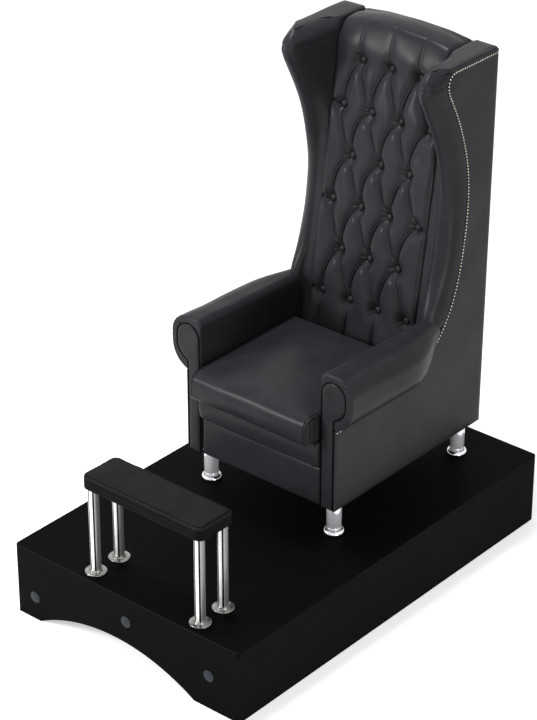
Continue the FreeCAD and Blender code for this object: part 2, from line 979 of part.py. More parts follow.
def tuft_section(height, narrow, narrow_width, spread, valley_depth, crown_depth):
    """One level section of the tufted pad: a row of bulging arcs between valleys."""
    plane = back_y(height)
    edge_y = plane + seam_depth
    valley_y = plane + valley_depth
    inner = tuft_boundaries(narrow, narrow_width, spread)
    outermost = back_half_width - border_width
    levels = [(-back_half_width, edge_y), (-outermost, valley_y)]
    levels += [(x, valley_y) for x in inner]
    levels += [(outermost, valley_y), (back_half_width, edge_y)]
    points = [Vector(x, y, height) for x, y in levels]
    forward = Vector(0, -1, 0)
    edges = []
    for index, (start, end) in enumerate(zip(points, points[1:])):
        column = index - 4
        is_border = index in (0, len(points) - 2)
        share = 2 * abs(end.x - start.x) / tuft_column_pitch
        if is_border:
            sagitta = 3.0
        elif column in narrow and spread == 0.0:
            sagitta = 0.6
        else:
            sagitta = (valley_depth - crown_depth) * min(share, 1.0)
        edges.append(bowed(start, end, forward, sagitta))
    rear = plane + back_pad_depth
    corners = [
        Vector(back_half_width, edge_y, height),
        Vector(back_half_width, rear, height),
        Vector(-back_half_width, rear, height),
        Vector(-back_half_width, edge_y, height),
    ]
    edges += [line(a, b) for a, b in zip(corners, corners[1:])]
    return Part.Wire(edges)


def tufted_back():
    """The diamond-tufted pad: valleys run between the buttons and each diamond bulges forwards."""
    rows = tuft_rows_list()
    low_narrow = narrow_columns(rows[0][1])
    top_narrow = narrow_columns(rows[-1][1])
    crown = -crown_forward
    middle_crown = crown * 0.4
    wires = [tuft_section(back_pad_bottom, low_narrow, pleat_width, 0.0, pleat_depth / 2, crown / 2)]
    rise = (rows[0][0] - back_pad_bottom) * 0.55
    shoulder = back_pad_bottom + rise
    wires.append(tuft_section(shoulder, low_narrow, pleat_width, 0.0, pleat_depth, crown))
    for index, (height, count) in enumerate(rows):
        narrow = narrow_columns(count)
        wires.append(tuft_section(height, narrow, 2 * button_radius, 0.0, button_depth, crown))
        if index + 1 < len(rows):
            middle = height + tuft_row_pitch / 2
            wires.append(
                tuft_section(middle, narrow, 2 * button_radius, 0.5, pleat_depth, middle_crown)
            )
    wires.append(tuft_section(back_pad_top, top_narrow, pleat_width, 0.0, pleat_depth, crown))
    pad = loft(wires)
    pockets = []
    for x, height in button_spots():
        seat = Vector(x, back_y(height) + button_depth - button_sunk, height)
        reach = button_depth + crown_forward
        pockets.append(cylinder(button_radius + button_seat_gap, reach, seat, Vector(0, -1, 0)))
    return pad.cut(Part.makeCompound(pockets))


def tufting_buttons():
    """Covered buttons with a domed face, one in every pocket."""
    forward = Vector(0, -1, 0)
    buttons = []
    for x, height in button_spots():
        base = Vector(x, back_y(height) + button_depth - button_sunk, height)
        body = cylinder(button_radius, button_thickness, base, forward)
        dome = Part.makeCone(
            button_radius, button_radius * 0.45, button_dome, base + forward * button_thickness, forward
        )
        buttons.append(body.fuse(dome).removeSplitter())
    return buttons


def tufting_board():
    """The thin board that the pad and the buttons' ties are fixed to."""
    depths = (back_pad_depth, board_back_depth)
    x_range = (-sheet_inner_x, sheet_inner_x)
    return leaning_bar(x_range, depths, (back_pad_bottom, back_pad_top))


def back_post():
    """The right post that leans back from the seat to the crest."""
    depths = (board_back_depth, board_back_depth + back_post_depth)
    return leaning_bar((post_inner_x, sheet_inner_x), depths, (frame_clear_height, back_pad_top))


def back_cross_rails():
    """The rails between the posts, and the rail at the top of the outside back."""
    depths = (board_back_depth, board_back_depth + rail_depth)
    x_range = (-post_inner_x, post_inner_x)
    rails = []
    middle = (low_cross_rail_height + top_cross_rail_height) / 2
    for low in (low_cross_rail_height, middle, top_cross_rail_height):
        rails.append(leaning_bar(x_range, depths, (low, low + cross_rail_height)))
    rear = outer_y(back_pad_top) - skin_thickness
    low = top_cross_rail_height
    y_range = (rear - rail_depth - outer_rail_gap, rear - outer_rail_gap)
    rails.append(centered_board(sheet_inner_x, y_range, (low, back_pad_top)))
    return rails


# Seat

def seat_rails():
    """The front rail, the rail behind the seat and the rail under the outside back."""
    low = frame_clear_height
    rear = outer_y(0) - skin_thickness
    rails = [
        centered_board(
            sheet_inner_x, (front_rail_y, front_rail_y + rail_thickness), (low, rail_top_height)
        ),
        centered_board(sheet_inner_x, (web_rail_y, web_rail_y + rail_thickness), (low, rail_top_height)),
        centered_board(sheet_inner_x, (rear - rail_thickness, rear), (low, low + back_rail_height)),
    ]
    return [drilled(rail, leg_screws()) for rail in rails]


def leg_spots():
    """The four legs' middles under the body, front left first."""
    return [(x, y) for y in (leg_front_y, leg_back_y) for x in (-leg_x, leg_x)]


def leg_blocks():
    """The corner blocks that the leg plates are screwed to."""
    inner = sheet_inner_x - block_width
    front = front_rail_y + rail_thickness
    back = outer_y(0) - skin_thickness - rail_thickness
    z_range = (frame_clear_height, frame_clear_height + block_height)
    blocks = []
    for x_range in ((-sheet_inner_x, -inner), (inner, sheet_inner_x)):
        for y_range in ((front, front + block_depth), (back - block_depth, back)):
            blocks.append(drilled(block(x_range, y_range, z_range), leg_screws()))
    return blocks


def seat_webbing():
    """Elastic bands from the front rail to the rail behind the seat."""
    bands = []
    z_range = (rail_top_height, rail_top_height + web_thickness)
    y_range = (front_rail_y, web_rail_y + rail_thickness)
    for index in range(web_count):
        middle = (index - (web_count - 1) / 2) * web_pitch
        bands.append(block((middle - web_width / 2, middle + web_width / 2), y_range, z_range))
    return bands


def seat_deck_pad():
    """The foam deck under the loose cushion."""
    deck_back = back_y(back_pad_bottom) - crown_forward - deck_back_gap
    return centered_board(seat_half_width, (front_rail_y, deck_back), (deck_pad_low, deck_pad_top))


def front_rail_roll():
    """The padded band across the front, under the cushion."""
    x = -seat_half_width
    corners = [
        Vector(x, front_rail_y, deck_pad_low),
        Vector(x, front_rail_y, deck_pad_top),
        Vector(x, lower_panel_front, deck_pad_top),
        Vector(x, front_roll_foot, deck_pad_low),
    ]
    edges = [
        line(corners[0], corners[1]),
        line(corners[1], corners[2]),
        bowed(corners[2], corners[3], Vector(0, -1, 0), front_roll_bulge),
        line(corners[3], corners[0]),
    ]
    return filled(edges).extrude(Vector(-2 * x, 0, 0))


def lower_front_panel():
    """The plain padded panel across the front rail, between the arm fronts."""
    y_range = (lower_panel_front, front_rail_y)
    return centered_board(seat_half_width, y_range, (0, deck_pad_low))


def cushion_section(y, drawn_in, crown):
    """The seat cushion's section across the seat, with its seams drawn in."""
    low = deck_pad_top + cushion_gap + drawn_in * 0.4
    half = arm_inner_x - cushion_side_gap - cushion_side_bow - drawn_in
    high = deck_pad_top + cushion_gap + cushion_edge_height - drawn_in
    corners = [
        Vector(-half, y, low),
        Vector(half, y, low),
        Vector(half, y, high),
        Vector(-half, y, high),
    ]
    edges = [
        line(corners[0], corners[1]),
        bowed(corners[1], corners[2], Vector(1, 0, 0), cushion_side_bow),
        bowed(corners[2], corners[3], Vector(0, 0, 1), crown),
        bowed(corners[3], corners[0], Vector(-1, 0, 0), cushion_side_bow),
    ]
    return Part.Wire(edges)


def seat_cushion():
    """The loose boxed cushion, which stands forward of the arms."""
    ends = (
        (0.0, cushion_draw_in, 0.25),
        (cushion_end_round * 0.27, cushion_draw_in * 0.25, 0.4),
        (cushion_end_round, 0.0, 0.6),
        (cushion_crown_run, 0.0, 0.92),
    )
    cushion_back = back_y(deck_pad_top) - crown_forward - cushion_back_gap
    stations = [(cushion_front + run, drawn_in, share) for run, drawn_in, share in ends]
    stations.append(((cushion_front + cushion_back) / 2, 0.0, 1.0))
    stations += [(cushion_back - run, drawn_in, share) for run, drawn_in, share in reversed(ends)]
    return loft([cushion_section(y, drawn_in, cushion_crown * share) for y, drawn_in, share in stations])


def dust_cover():
    """The thin cloth under the body, cut out around the leg plates."""
    z_range = (frame_clear_height - dust_cover_thickness, frame_clear_height)
    rear = outer_y(0) - skin_thickness - dust_cover_inset
    y_range = (front_rail_y + dust_cover_inset, rear)
    cloth = centered_board(sheet_inner_x + frame_sheet / 2, y_range, z_range)
    reach = plate_half + dust_cover_inset / 2
    holes = [block((x - reach, x + reach), (y - reach, y + reach), z_range) for x, y in leg_spots()]
    return cloth.cut(Part.makeCompound(holes))


# Legs

def leg_plates():
    """Square steel plates between the legs and the body's frame."""
    plates = []
    for x, y in leg_spots():
        x_range = (x - plate_half, x + plate_half)
        y_range = (y - plate_half, y + plate_half)
        plate = block(x_range, y_range, (0, frame_clear_height))
        plates.append(drilled(plate, leg_screws()))
    return plates


def leg_screws():
    """Four screws up through each leg plate."""
    screws = []
    for x, y in leg_spots():
        for dx in (-leg_screw_offset, leg_screw_offset):
            for dy in (-leg_screw_offset, leg_screw_offset):
                base = Vector(x + dx, y + dy, 0)
                screws.append(cylinder(screw_radius, frame_clear_height + leg_screw_length, base))
    return screws


def leg_tube_bottom():
    """How far under the body a leg's tube ends, inside the foot's cup."""
    return -leg_height + foot_floor + foot_travel + foot_stop_gap


def leg_tube(spot):
    """One chrome leg."""
    bottom = leg_tube_bottom()
    return tube(leg_radius, leg_wall, -bottom, Vector(spot[0], spot[1], bottom))


def leg_nut(spot):
    """The threaded disc inside a leg, which the foot's stem screws into."""
    base = Vector(spot[0], spot[1], leg_tube_bottom() + nut_lift)
    disc = cylinder(leg_radius - leg_wall, nut_height, base)
    return disc.cut(cylinder(stem_radius + stem_running_gap, nut_height, base))


def foot(spot):
    """One screw foot: a flat floor, a rounded ring around the leg and a stem inside it."""
    x, y = spot
    low = -leg_height
    cup = leg_radius + foot_cup_gap
    corners = [
        Vector(stem_radius, 0, low),
        Vector(foot_radius - foot_base_inset, 0, low),
        Vector(foot_radius, 0, low + foot_height * 0.35),
        Vector(foot_radius - foot_base_inset * 0.67, 0, low + foot_height * 0.75),
        Vector(cup + foot_lip_width, 0, low + foot_height),
        Vector(cup, 0, low + foot_height - foot_lip_round),
        Vector(cup, 0, low + foot_floor),
        Vector(stem_radius, 0, low + foot_floor),
    ]
    edges = [
        line(corners[0], corners[1]),
        bowed(corners[1], corners[2], Vector(2, 0, -1).normalize(), 0.8),
        bowed(corners[2], corners[3], Vector(1, 0, 0), 0.5),
        bowed(corners[3], corners[4], Vector(1, 0, 1).normalize(), 1.0),
    ]
    edges += [line(a, b) for a, b in zip(corners[4:], corners[5:] + corners[:1])]
    ring = filled(edges).revolve(ORIGIN, Vector(0, 0, 1), 360)
    stem = cylinder(stem_radius, stem_length, Vector(0, 0, low))
    whole = ring.fuse(stem).removeSplitter()
    whole.translate(Vector(x, y, 0))
    return whole


# Every sub-part

def save_platform():
    """The raised platform."""
    save("platform_deck", platform_deck(), platform_origin)
    save("platform_front_panel", front_panel(), platform_origin)
    save("platform_back_panel", back_panel(), platform_origin)
    save("platform_right_panel", side_panel_board(), platform_origin)
    save("platform_left_panel", mirrored(side_panel_board()), platform_origin)
    save_group("platform_ribs", platform_ribs(), platform_origin)
    save_group("platform_corner_blocks", corner_blocks(), platform_origin)
    save_group("front_panel_battens", front_battens(), platform_origin)
    save_group("panel_caps", cap_covers(), platform_origin)
    save_group("panel_cap_screws", cap_screws(), platform_origin)


def save_footrest():
    """The padded footrest on its four posts."""
    save("footrest_board", footrest_board(), platform_origin)
    save("footrest_cushion", footrest_cushion(), platform_origin)
    save("footrest_backing_board", footrest_backing(), platform_origin)
    names = ("front_left", "front_right", "back_left", "back_right")
    for name, spot in zip(names, post_spots()):
        save("footrest_post_" + name, footrest_post(spot), platform_origin)
    save_group("footrest_flanges", floor_flanges(), platform_origin)
    save_group("footrest_flange_screws", footrest_floor_screws(), platform_origin)
    save_group("footrest_post_plugs", post_plugs(), platform_origin)
    save_group("footrest_board_bolts", footrest_board_bolts(), platform_origin)


def save_chair_frame():
    """The chair's timber frame and what it carries inside."""
    save_pair("side_frame", side_frame(), chair_origin)
    save_pair("back_post", back_post(), chair_origin)
    save_group("back_cross_rails", back_cross_rails(), chair_origin)
    save_group("seat_rails", seat_rails(), chair_origin)
    save_group("leg_blocks", leg_blocks(), chair_origin)
    save_group("seat_webbing", seat_webbing(), chair_origin)
    save("seat_deck_pad", seat_deck_pad(), chair_origin)
    save("tufting_board", tufting_board(), chair_origin)
    save("dust_cover", dust_cover(), chair_origin)


def save_upholstery():
    """The chair's padded outside."""
    save_pair("side_panel", outer_side_panel(), chair_origin)
    save_pair("arm_pad", arm_pad(), chair_origin)
    save_pair("arm_facing", facing_space(), chair_origin)
    save_pair("wing", wing(), chair_origin)
    save_pair("nail_trim", nail_trim(), chair_origin)
    save("outside_back_panel", outside_back_panel(), chair_origin)
    save("crest_roll", crest(), chair_origin)
    save("tufted_back", tufted_back(), chair_origin)
    save_group("tufting_buttons", tufting_buttons(), chair_origin)
    save("front_rail_roll", front_rail_roll(), chair_origin)
    save("lower_front_panel", lower_front_panel(), chair_origin)
    save("seat_cushion", seat_cushion(), chair_origin)


def save_legs():
    """The chrome legs with their screw feet."""
    names = ("front_left", "front_right", "back_left", "back_right")
    for name, spot in zip(names, leg_spots()):
        save("leg_" + name, leg_tube(spot), chair_origin)
        save("foot_" + name, foot(spot), chair_origin)
    save_group("leg_nuts", [leg_nut(spot) for spot in leg_spots()], chair_origin)
    save_group("leg_plates", leg_plates(), chair_origin)
    save_group("leg_screws", leg_screws(), chair_origin)


def main():
    """Write every sub-part."""
    os.makedirs("parts", exist_ok=True)
    save_platform()
    save_footrest()
    save_chair_frame()
    save_upholstery()
    save_legs()


main()
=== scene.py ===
"""Dressed model of a pedicure spa chair: a tufted wing chair and a footrest on a raised platform."""

import logging
import math
from collections.abc import Callable, Iterable, Sequence
from dataclasses import dataclass
from enum import Enum

import bmesh
import bpy
import numpy as np
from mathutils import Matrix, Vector
from mathutils.bvhtree import BVHTree


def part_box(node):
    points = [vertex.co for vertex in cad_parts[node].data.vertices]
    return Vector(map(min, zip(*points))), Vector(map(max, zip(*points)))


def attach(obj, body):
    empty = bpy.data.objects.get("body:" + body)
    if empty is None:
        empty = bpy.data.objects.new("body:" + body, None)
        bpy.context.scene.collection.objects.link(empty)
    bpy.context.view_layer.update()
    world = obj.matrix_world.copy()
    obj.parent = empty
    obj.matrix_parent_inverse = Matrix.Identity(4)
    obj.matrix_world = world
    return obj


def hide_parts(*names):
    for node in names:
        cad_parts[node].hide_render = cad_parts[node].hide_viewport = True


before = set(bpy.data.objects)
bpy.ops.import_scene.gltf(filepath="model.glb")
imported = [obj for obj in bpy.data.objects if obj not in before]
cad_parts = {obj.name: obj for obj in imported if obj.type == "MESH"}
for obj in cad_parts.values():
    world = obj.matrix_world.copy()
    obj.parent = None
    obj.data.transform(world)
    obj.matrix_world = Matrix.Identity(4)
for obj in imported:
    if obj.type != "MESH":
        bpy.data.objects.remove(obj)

LOG = logging.getLogger("spa_chair")
MM = 0.001
MERGE_DISTANCE = 1e-6
FLAT_DISTANCE = 1e-7
ROOT_BODY = "chair_and_platform"
CUSHION_BODY = "loose_cushion"
CHAIR_ORIGIN = np.array((0.0, -120.0, 387.0))
PLATFORM_ORIGIN = np.array((0.0, -775.0, 0.0))
NO_ORIGIN = np.zeros(3)
WHITE = (1.0, 1.0, 1.0, 1.0)
SQUARE = ((-1, -1), (1, -1), (1, 1), (-1, 1))

Obj = bpy.types.Object
Node = bpy.types.Node
Socket = bpy.types.NodeSocket
Array = np.ndarray
Pair = tuple[float, float]
Triple = tuple[float, float, float]


class Slot(Enum):
    """The record's material slots."""

    LEATHERETTE = "leatherette"
    CHROME = "chrome"
    STEEL = "steel"
    LAMINATE = "black_laminate"
    TIMBER = "timber"
    CAP = "cap_plastic"
    BRASS = "nail_brass"
    CLOTH = "black_cloth"


class Side(Enum):
    """Which side of the chair a piece is on, for someone who faces it."""

    LEFT = -1
    RIGHT = 1

    @property
    def word(self) -> str:
        """The side's word in the frame's node names."""
        return self.name.lower()


# Curves and grids


def natural_spline(knots: Sequence[float], values: Sequence[float], at: Array) -> Array:
    """Evaluates a natural cubic spline.

    Args:
        knots: Increasing parameter values.
        values: The value at each knot.
        at: Where to evaluate it.

    Returns:
        The spline's values.
    """
    x, y = np.asarray(knots, float), np.asarray(values, float)
    count = len(x)
    step = np.diff(x)
    matrix = np.eye(count)
    right = np.zeros(count)
    for i in range(1, count - 1):
        matrix[i, i - 1 : i + 2] = step[i - 1], 2 * (step[i - 1] + step[i]), step[i]
        right[i] = 6 * ((y[i + 1] - y[i]) / step[i] - (y[i] - y[i - 1]) / step[i - 1])
    bend = np.linalg.solve(matrix, right)
    at = np.asarray(at, float)
    i = np.clip(np.searchsorted(x, at) - 1, 0, count - 2)
    a, b, h = x[i + 1] - at, at - x[i], step[i]
    curved = (bend[i] * a**3 + bend[i + 1] * b**3) / (6 * h)
    return curved + (y[i] / h - bend[i] * h / 6) * a + (y[i + 1] / h - bend[i + 1] * h / 6) * b


def run_along(line: Array) -> Array:
    """The way along a polyline up to each of its points."""
    return np.concatenate(([0.0], np.cumsum(np.linalg.norm(np.diff(line, axis=0), axis=1))))


def spline_path(points: Sequence[Sequence[float]], count: int) -> Array:
    """Samples a smooth path through points at even steps of its chord length.

    Args:
        points: The points, of any dimension.
        count: How many samples to give.

    Returns:
        An array of samples.
    """
    array = np.asarray(points, float)
    run = run_along(array)
    at = np.linspace(0.0, run[-1], count)
    return np.stack([natural_spline(run, column, at) for column in array.T], axis=1)


def resample(points: Array, count: int, closed: bool = False) -> Array:
    """Spreads points evenly along a polyline.

    Args:
        points: The polyline's points.
        count: How many points to give.
        closed: Whether the line runs back to its start.

    Returns:
        The new points; a closed line's first point isn't repeated.
    """
    line = np.vstack([points, points[:1]]) if closed else points
    run = run_along(line)
    at = np.linspace(0.0, run[-1], count, endpoint=not closed)
    return np.stack([np.interp(at, run, column) for column in line.T], axis=1)


def eased(value: Array, low: float, high: float) -> Array:
    """Runs smoothly from 0 at low to 1 at high."""
    t = np.clip((np.asarray(value, float) - low) / (high - low), 0.0, 1.0)
    return t * t * (3 - 2 * t)


def grid_faces(rows: int, columns: int, closed: bool = False, joined: bool = False) -> list[tuple[int, ...]]:
    """Quads between rows of points.

    Args:
        rows: How many rows there are.
        columns: How many points a row has.
        closed: Whether each row is a loop.
        joined: Whether the last row runs on into the first.

    Returns:
        The faces as vertex indices.
    """
    faces = []
    for row in range(rows if joined else rows - 1):
        low, high = row * columns, (row + 1) % rows * columns
        for c in range(columns if closed else columns - 1):
            after = (c + 1) % columns
            faces.append((low + c, low + after, high + after, high + c))
    return faces


def arc(
    centre: Sequence[float], radii: float | Sequence[float], start: float, end: float, count: int
) -> Array:
    """Samples an arc of a circle or an ellipse.

    Args:
        centre: Its centre.
        radii: Its radius, or one for each axis.
        start: Where it starts, in half turns.
        end: Where it ends, in half turns.
        count: How many samples to give.

    Returns:
        The samples.
    """
    turn = np.linspace(start * np.pi, end * np.pi, count)
    return np.asarray(centre) + np.column_stack([np.cos(turn), np.sin(turn)]) * radii


def rounded_rectangle(
    centre: Sequence[float], half: Sequence[float], radius: float, steps: int, count: int
) -> Array:
    """Samples a rectangle with round corners.

    Args:
        centre: Its middle.
        half: Half its width and half its depth.
        radius: The corners' radius.
        steps: How many points a corner has at first.
        count: How many even samples to give.

    Returns:
        A ring of (x, y).
    """
    ring = []
    for sx, sy, start in ((1, 1, 0.0), (-1, 1, 0.5), (-1, -1, 1.0), (1, -1, 1.5)):
        corner = (centre[0] + sx * (half[0] - radius), centre[1] + sy * (half[1] - radius))
        ring.append(arc(corner, radius, start, start + 0.5, steps))
    return resample(np.vstack(ring), count, closed=True)


def upright(x: float, ring: Array) -> Array:
    """Stands a ring of (y, z) up at one x."""
    return np.column_stack([np.full(len(ring), x), ring])


def level(ring: Array, z: float) -> Array:
    """Lays a ring of (x, y) at one height."""
    return np.column_stack([ring, np.full(len(ring), z)])


def ripples(
    columns: Sequence[Array], random: np.random.Generator, count: int, rates: Pair, size: float,
    turn: float = 2 * np.pi,
) -> Array:
    """Sums slow waves that run in random directions.

    Args:
        columns: The points' coordinates, one array for each axis.
        random: What the waves are drawn from.
        count: How many waves there are.
        rates: The lowest and highest rate along an axis, in radians a millimetre.
        size: The height of one wave.
        turn: The range of the phases.

    Returns:
        A height for each point.
    """
    total = np.zeros_like(columns[0])
    for _ in range(count):
        pull = random.uniform(*rates, len(columns))
        place = sum(rate * column for rate, column in zip(pull, columns))
        total += size * np.sin(place + random.uniform(0, turn))
    return total


# Meshes and objects


def linked_object(name: str, data: bpy.types.ID) -> Obj:
    """Makes an object and links it to the scene.

    Args:
        name: The object's name.
        data: Its mesh, lamp or camera.

    Returns:
        The object.
    """
    obj = bpy.data.objects.new(name, data)
    bpy.context.scene.collection.objects.link(obj)
    return obj


def edit_mesh(mesh: bpy.types.Mesh, *steps: Callable[[bmesh.types.BMesh], object]) -> None:
    """Runs steps on a mesh's faces and edges.

    Args:
        mesh: The mesh.
        *steps: What is done to it, in order.
    """
    work = bmesh.new()
    work.from_mesh(mesh)
    for step in steps:
        step(work)
    work.to_mesh(mesh)
    work.free()


def merge_doubles(work: bmesh.types.BMesh) -> None:
    """Merges points that lie on each other."""
    bmesh.ops.remove_doubles(work, verts=work.verts, dist=MERGE_DISTANCE)


def drop_flat_faces(work: bmesh.types.BMesh) -> None:
    """Dissolves edges and faces without a size, as on a lathe's axis."""
    bmesh.ops.dissolve_degenerate(work, edges=work.edges, dist=FLAT_DISTANCE)


def face_outwards(work: bmesh.types.BMesh) -> None:
    """Turns a closed shell's faces outwards."""
    bmesh.ops.recalc_face_normals(work, faces=work.faces)


def make_object(
    name: str, points: Array, faces: Iterable[Sequence[int]], origin: Array = CHAIR_ORIGIN
) -> Obj:
    """Makes a mesh object from points in millimetres.

    Args:
        name: The object's name.
        points: Points in the frame that starts at origin.
        faces: Faces as vertex indices.
        origin: That frame's origin in the row frame, in millimetres.

    Returns:
        The object, linked to the scene, with its normals outwards.
    """
    mesh = bpy.data.meshes.new(name)
    mesh.from_pydata(((points + origin) * MM).tolist(), [], list(faces))
    edit_mesh(mesh, merge_doubles, face_outwards)
    return linked_object(name, mesh)


def loft_object(name: str, rings: Sequence[Array], origin: Array = CHAIR_ORIGIN) -> Obj:
    """Makes a closed shell through rings that have as many points each.

    Args:
        name: The object's name.
        rings: Closed rings of points, in order.
        origin: Their frame's origin, in millimetres.

    Returns:
        The object.
    """
    count = len(rings[0])
    faces = grid_faces(len(rings), count, closed=True)
    last = (len(rings) - 1) * count
    faces += [tuple(range(count)), tuple(range(last, last + count))]
    return make_object(name, np.vstack(rings), faces, origin)


def mirror_points(points: Array, side: Side) -> Array:
    """Turns a right-hand piece's points over for the left side.

    Args:
        points: The right-hand piece's points.
        side: The side that they are for.

    Returns:
        The points on that side.
    """
    turned = np.array(points, float)
    turned[..., 0] *= side.value
    return turned


def add_modifier(obj: Obj, kind: str, **values: object) -> bpy.types.Modifier:
    """Adds a modifier and sets its values.

    Args:
        obj: The object.
        kind: The modifier's type.
        **values: Its settings.

    Returns:
        The modifier.
    """
    modifier = obj.modifiers.new(kind.title(), kind)
    for name, value in values.items():
        setattr(modifier, name, value)
    return modifier


def apply_modifiers(obj: Obj) -> None:
    """Turns the evaluated object into its plain mesh.

    Args:
        obj: The object, whose modifiers are gone afterwards.
    """
    evaluated = obj.evaluated_get(bpy.context.evaluated_depsgraph_get())
    mesh = bpy.data.meshes.new_from_object(evaluated)
    obj.modifiers.clear()
    old = obj.data
    obj.data = mesh
    mesh.name = obj.name
    bpy.data.meshes.remove(old)


def subdivide(obj: Obj, levels: int = 1) -> None:
    """Smooths a piece with a subdivision surface."""
    add_modifier(obj, "SUBSURF", levels=levels, render_levels=levels)
    apply_modifiers(obj)


def smooth(obj: Obj, angle: float = 40.0) -> None:
    """Shades a mesh smooth apart from edges sharper than an angle."""
    obj.data.shade_smooth()
    obj.data.set_sharp_from_angle(angle=math.radians(angle))


def points_of(obj: Obj, kind: str = "co") -> Array:
    """Reads a value of each vertex of a mesh.

    Args:
        obj: The object.
        kind: Which value: co for the place in metres, or normal.

    Returns:
        One row for each vertex.
    """
    flat = np.empty(len(obj.data.vertices) * 3, np.float64)
    obj.data.vertices.foreach_get(kind, flat)
    return flat.reshape(-1, 3)


def place_of(obj: Obj, origin: Array = CHAIR_ORIGIN) -> Array:
    """A mesh's vertices in millimetres, in the frame that starts at origin."""
    return points_of(obj) / MM - origin


def move_points(obj: Obj, points: Array) -> None:
    """Puts a mesh's vertices at new places, in metres."""
    obj.data.vertices.foreach_set("co", points.astype(np.float32).ravel())
    obj.data.update()


def push(obj: Obj, heights: Array) -> None:
    """Moves each vertex along its normal by a height in millimetres."""
    move_points(obj, points_of(obj) + points_of(obj, "normal") * heights[:, None] * MM)


def path_distance(points: Array, path: Array) -> Array:
    """Measures how far points lie from a polyline, in the units of both.

    Args:
        points: The points.
        path: The polyline.

    Returns:
        A distance for each point.
    """
    best = np.full(len(points), np.inf)
    for start, end in zip(path[:-1], path[1:]):
        along = end - start
        t = np.clip((points - start) @ along / max(float(along @ along), 1e-12), 0.0, 1.0)
        best = np.minimum(best, np.linalg.norm(points - start - t[:, None] * along, axis=1))
    return best


def groove(distance: Array, width: float) -> Array:
    """A soft valley's share of its depth at a distance from its line."""
    return np.exp(-((distance / width) ** 2))


def join(name: str, parts: Sequence[Obj]) -> Obj:
    """Joins several mesh objects into one piece.

    Args:
        name: The piece's name.
        parts: Objects, which are used up.

    Returns:
        The joined object.
    """
    work = bmesh.new()
    for part in parts:
        work.from_mesh(part.data)
    mesh = bpy.data.meshes.new(name)
    work.to_mesh(mesh)
    work.free()
    for part in parts:
        bpy.data.objects.remove(part)
    return linked_object(name, mesh)


# Node trees


class NodeTree:
    """A node tree that is being built."""

    def __init__(self, tree: bpy.types.NodeTree) -> None:
        """Starts on an empty or cleared tree."""
        self.tree = tree

    def link(self, value: object, socket: Socket) -> None:
        """Links an input to a socket or sets it to a plain value.

        Args:
            value: The socket or the value.
            socket: The input.
        """
        if isinstance(value, Socket):
            self.tree.links.new(value, socket)
        else:
            socket.default_value = value

    def add(self, kind: str, inputs: dict | None = None, **settings: object) -> Node:
        """Adds a node.

        Args:
            kind: The node's type.
            inputs: Values or sockets for its inputs, by name or number.
            **settings: The node's own settings.

        Returns:
            The node.
        """
        node = self.tree.nodes.new(kind)
        for name, value in settings.items():
            setattr(node, name, value)
        for key, value in (inputs or {}).items():
            self.link(value, node.inputs[key])
        return node

    def math(self, operation: str, first: object, second: object = 0.0) -> Socket:
        """Adds a Math node and gives its result."""
        return self.add("ShaderNodeMath", {0: first, 1: second}, operation=operation).outputs[0]

    def combine(self, x: object = 0.0, y: object = 0.0, z: object = 0.0) -> Socket:
        """Makes one vector of three numbers."""
        return self.add("ShaderNodeCombineXYZ", {0: x, 1: y, 2: z}).outputs[0]

    def mix(self, factor: object, first: object, second: object) -> Socket:
        """Mixes two colours.

        Args:
            factor: The second colour's share.
            first: The first colour.
            second: The second colour.

        Returns:
            The mixed colour.
        """
        node = self.add("ShaderNodeMix", data_type="RGBA")
        colours = [s for s in node.inputs if s.type == "RGBA"]
        for socket, value in zip((node.inputs[0], *colours), (factor, first, second)):
            self.link(value, socket)
        return next(s for s in node.outputs if s.type == "RGBA")

    def ramp(self, value: object, low: object, high: object, start: float = 0.0, end: float = 1.0) -> Socket:
        """Maps a value between two limits onto another range."""
        return self.add("ShaderNodeMapRange", {0: value, 1: low, 2: high, 3: start, 4: end}).outputs[0]

    def seen_directly(self) -> Socket:
        """A mask that is 1 for the camera, in reflections and through what is clear."""
        path = self.add("ShaderNodeLightPath").outputs
        seen = self.math("MAXIMUM", path["Is Camera Ray"], path["Is Glossy Ray"])
        return self.math("MAXIMUM", seen, path["Is Transmission Ray"])


class EffectGroup(NodeTree):
    """A shader node group whose first input is a vector."""

    def __init__(self, name: str, inputs: dict[str, float], outputs: Sequence[str]) -> None:
        """Starts the group.

        Args:
            name: The group's name.
            inputs: Number inputs and their defaults.
            outputs: Number outputs.
        """
        super().__init__(bpy.data.node_groups.new(name, "ShaderNodeTree"))
        face = self.tree.interface
        face.new_socket("Vector", in_out="INPUT", socket_type="NodeSocketVector")
        for label, default in inputs.items():
            face.new_socket(label, in_out="INPUT", socket_type="NodeSocketFloat").default_value = default
        for label in outputs:
            face.new_socket(label, in_out="OUTPUT", socket_type="NodeSocketFloat")
        self.given = self.add("NodeGroupInput").outputs
        self.out = self.add("NodeGroupOutput").inputs


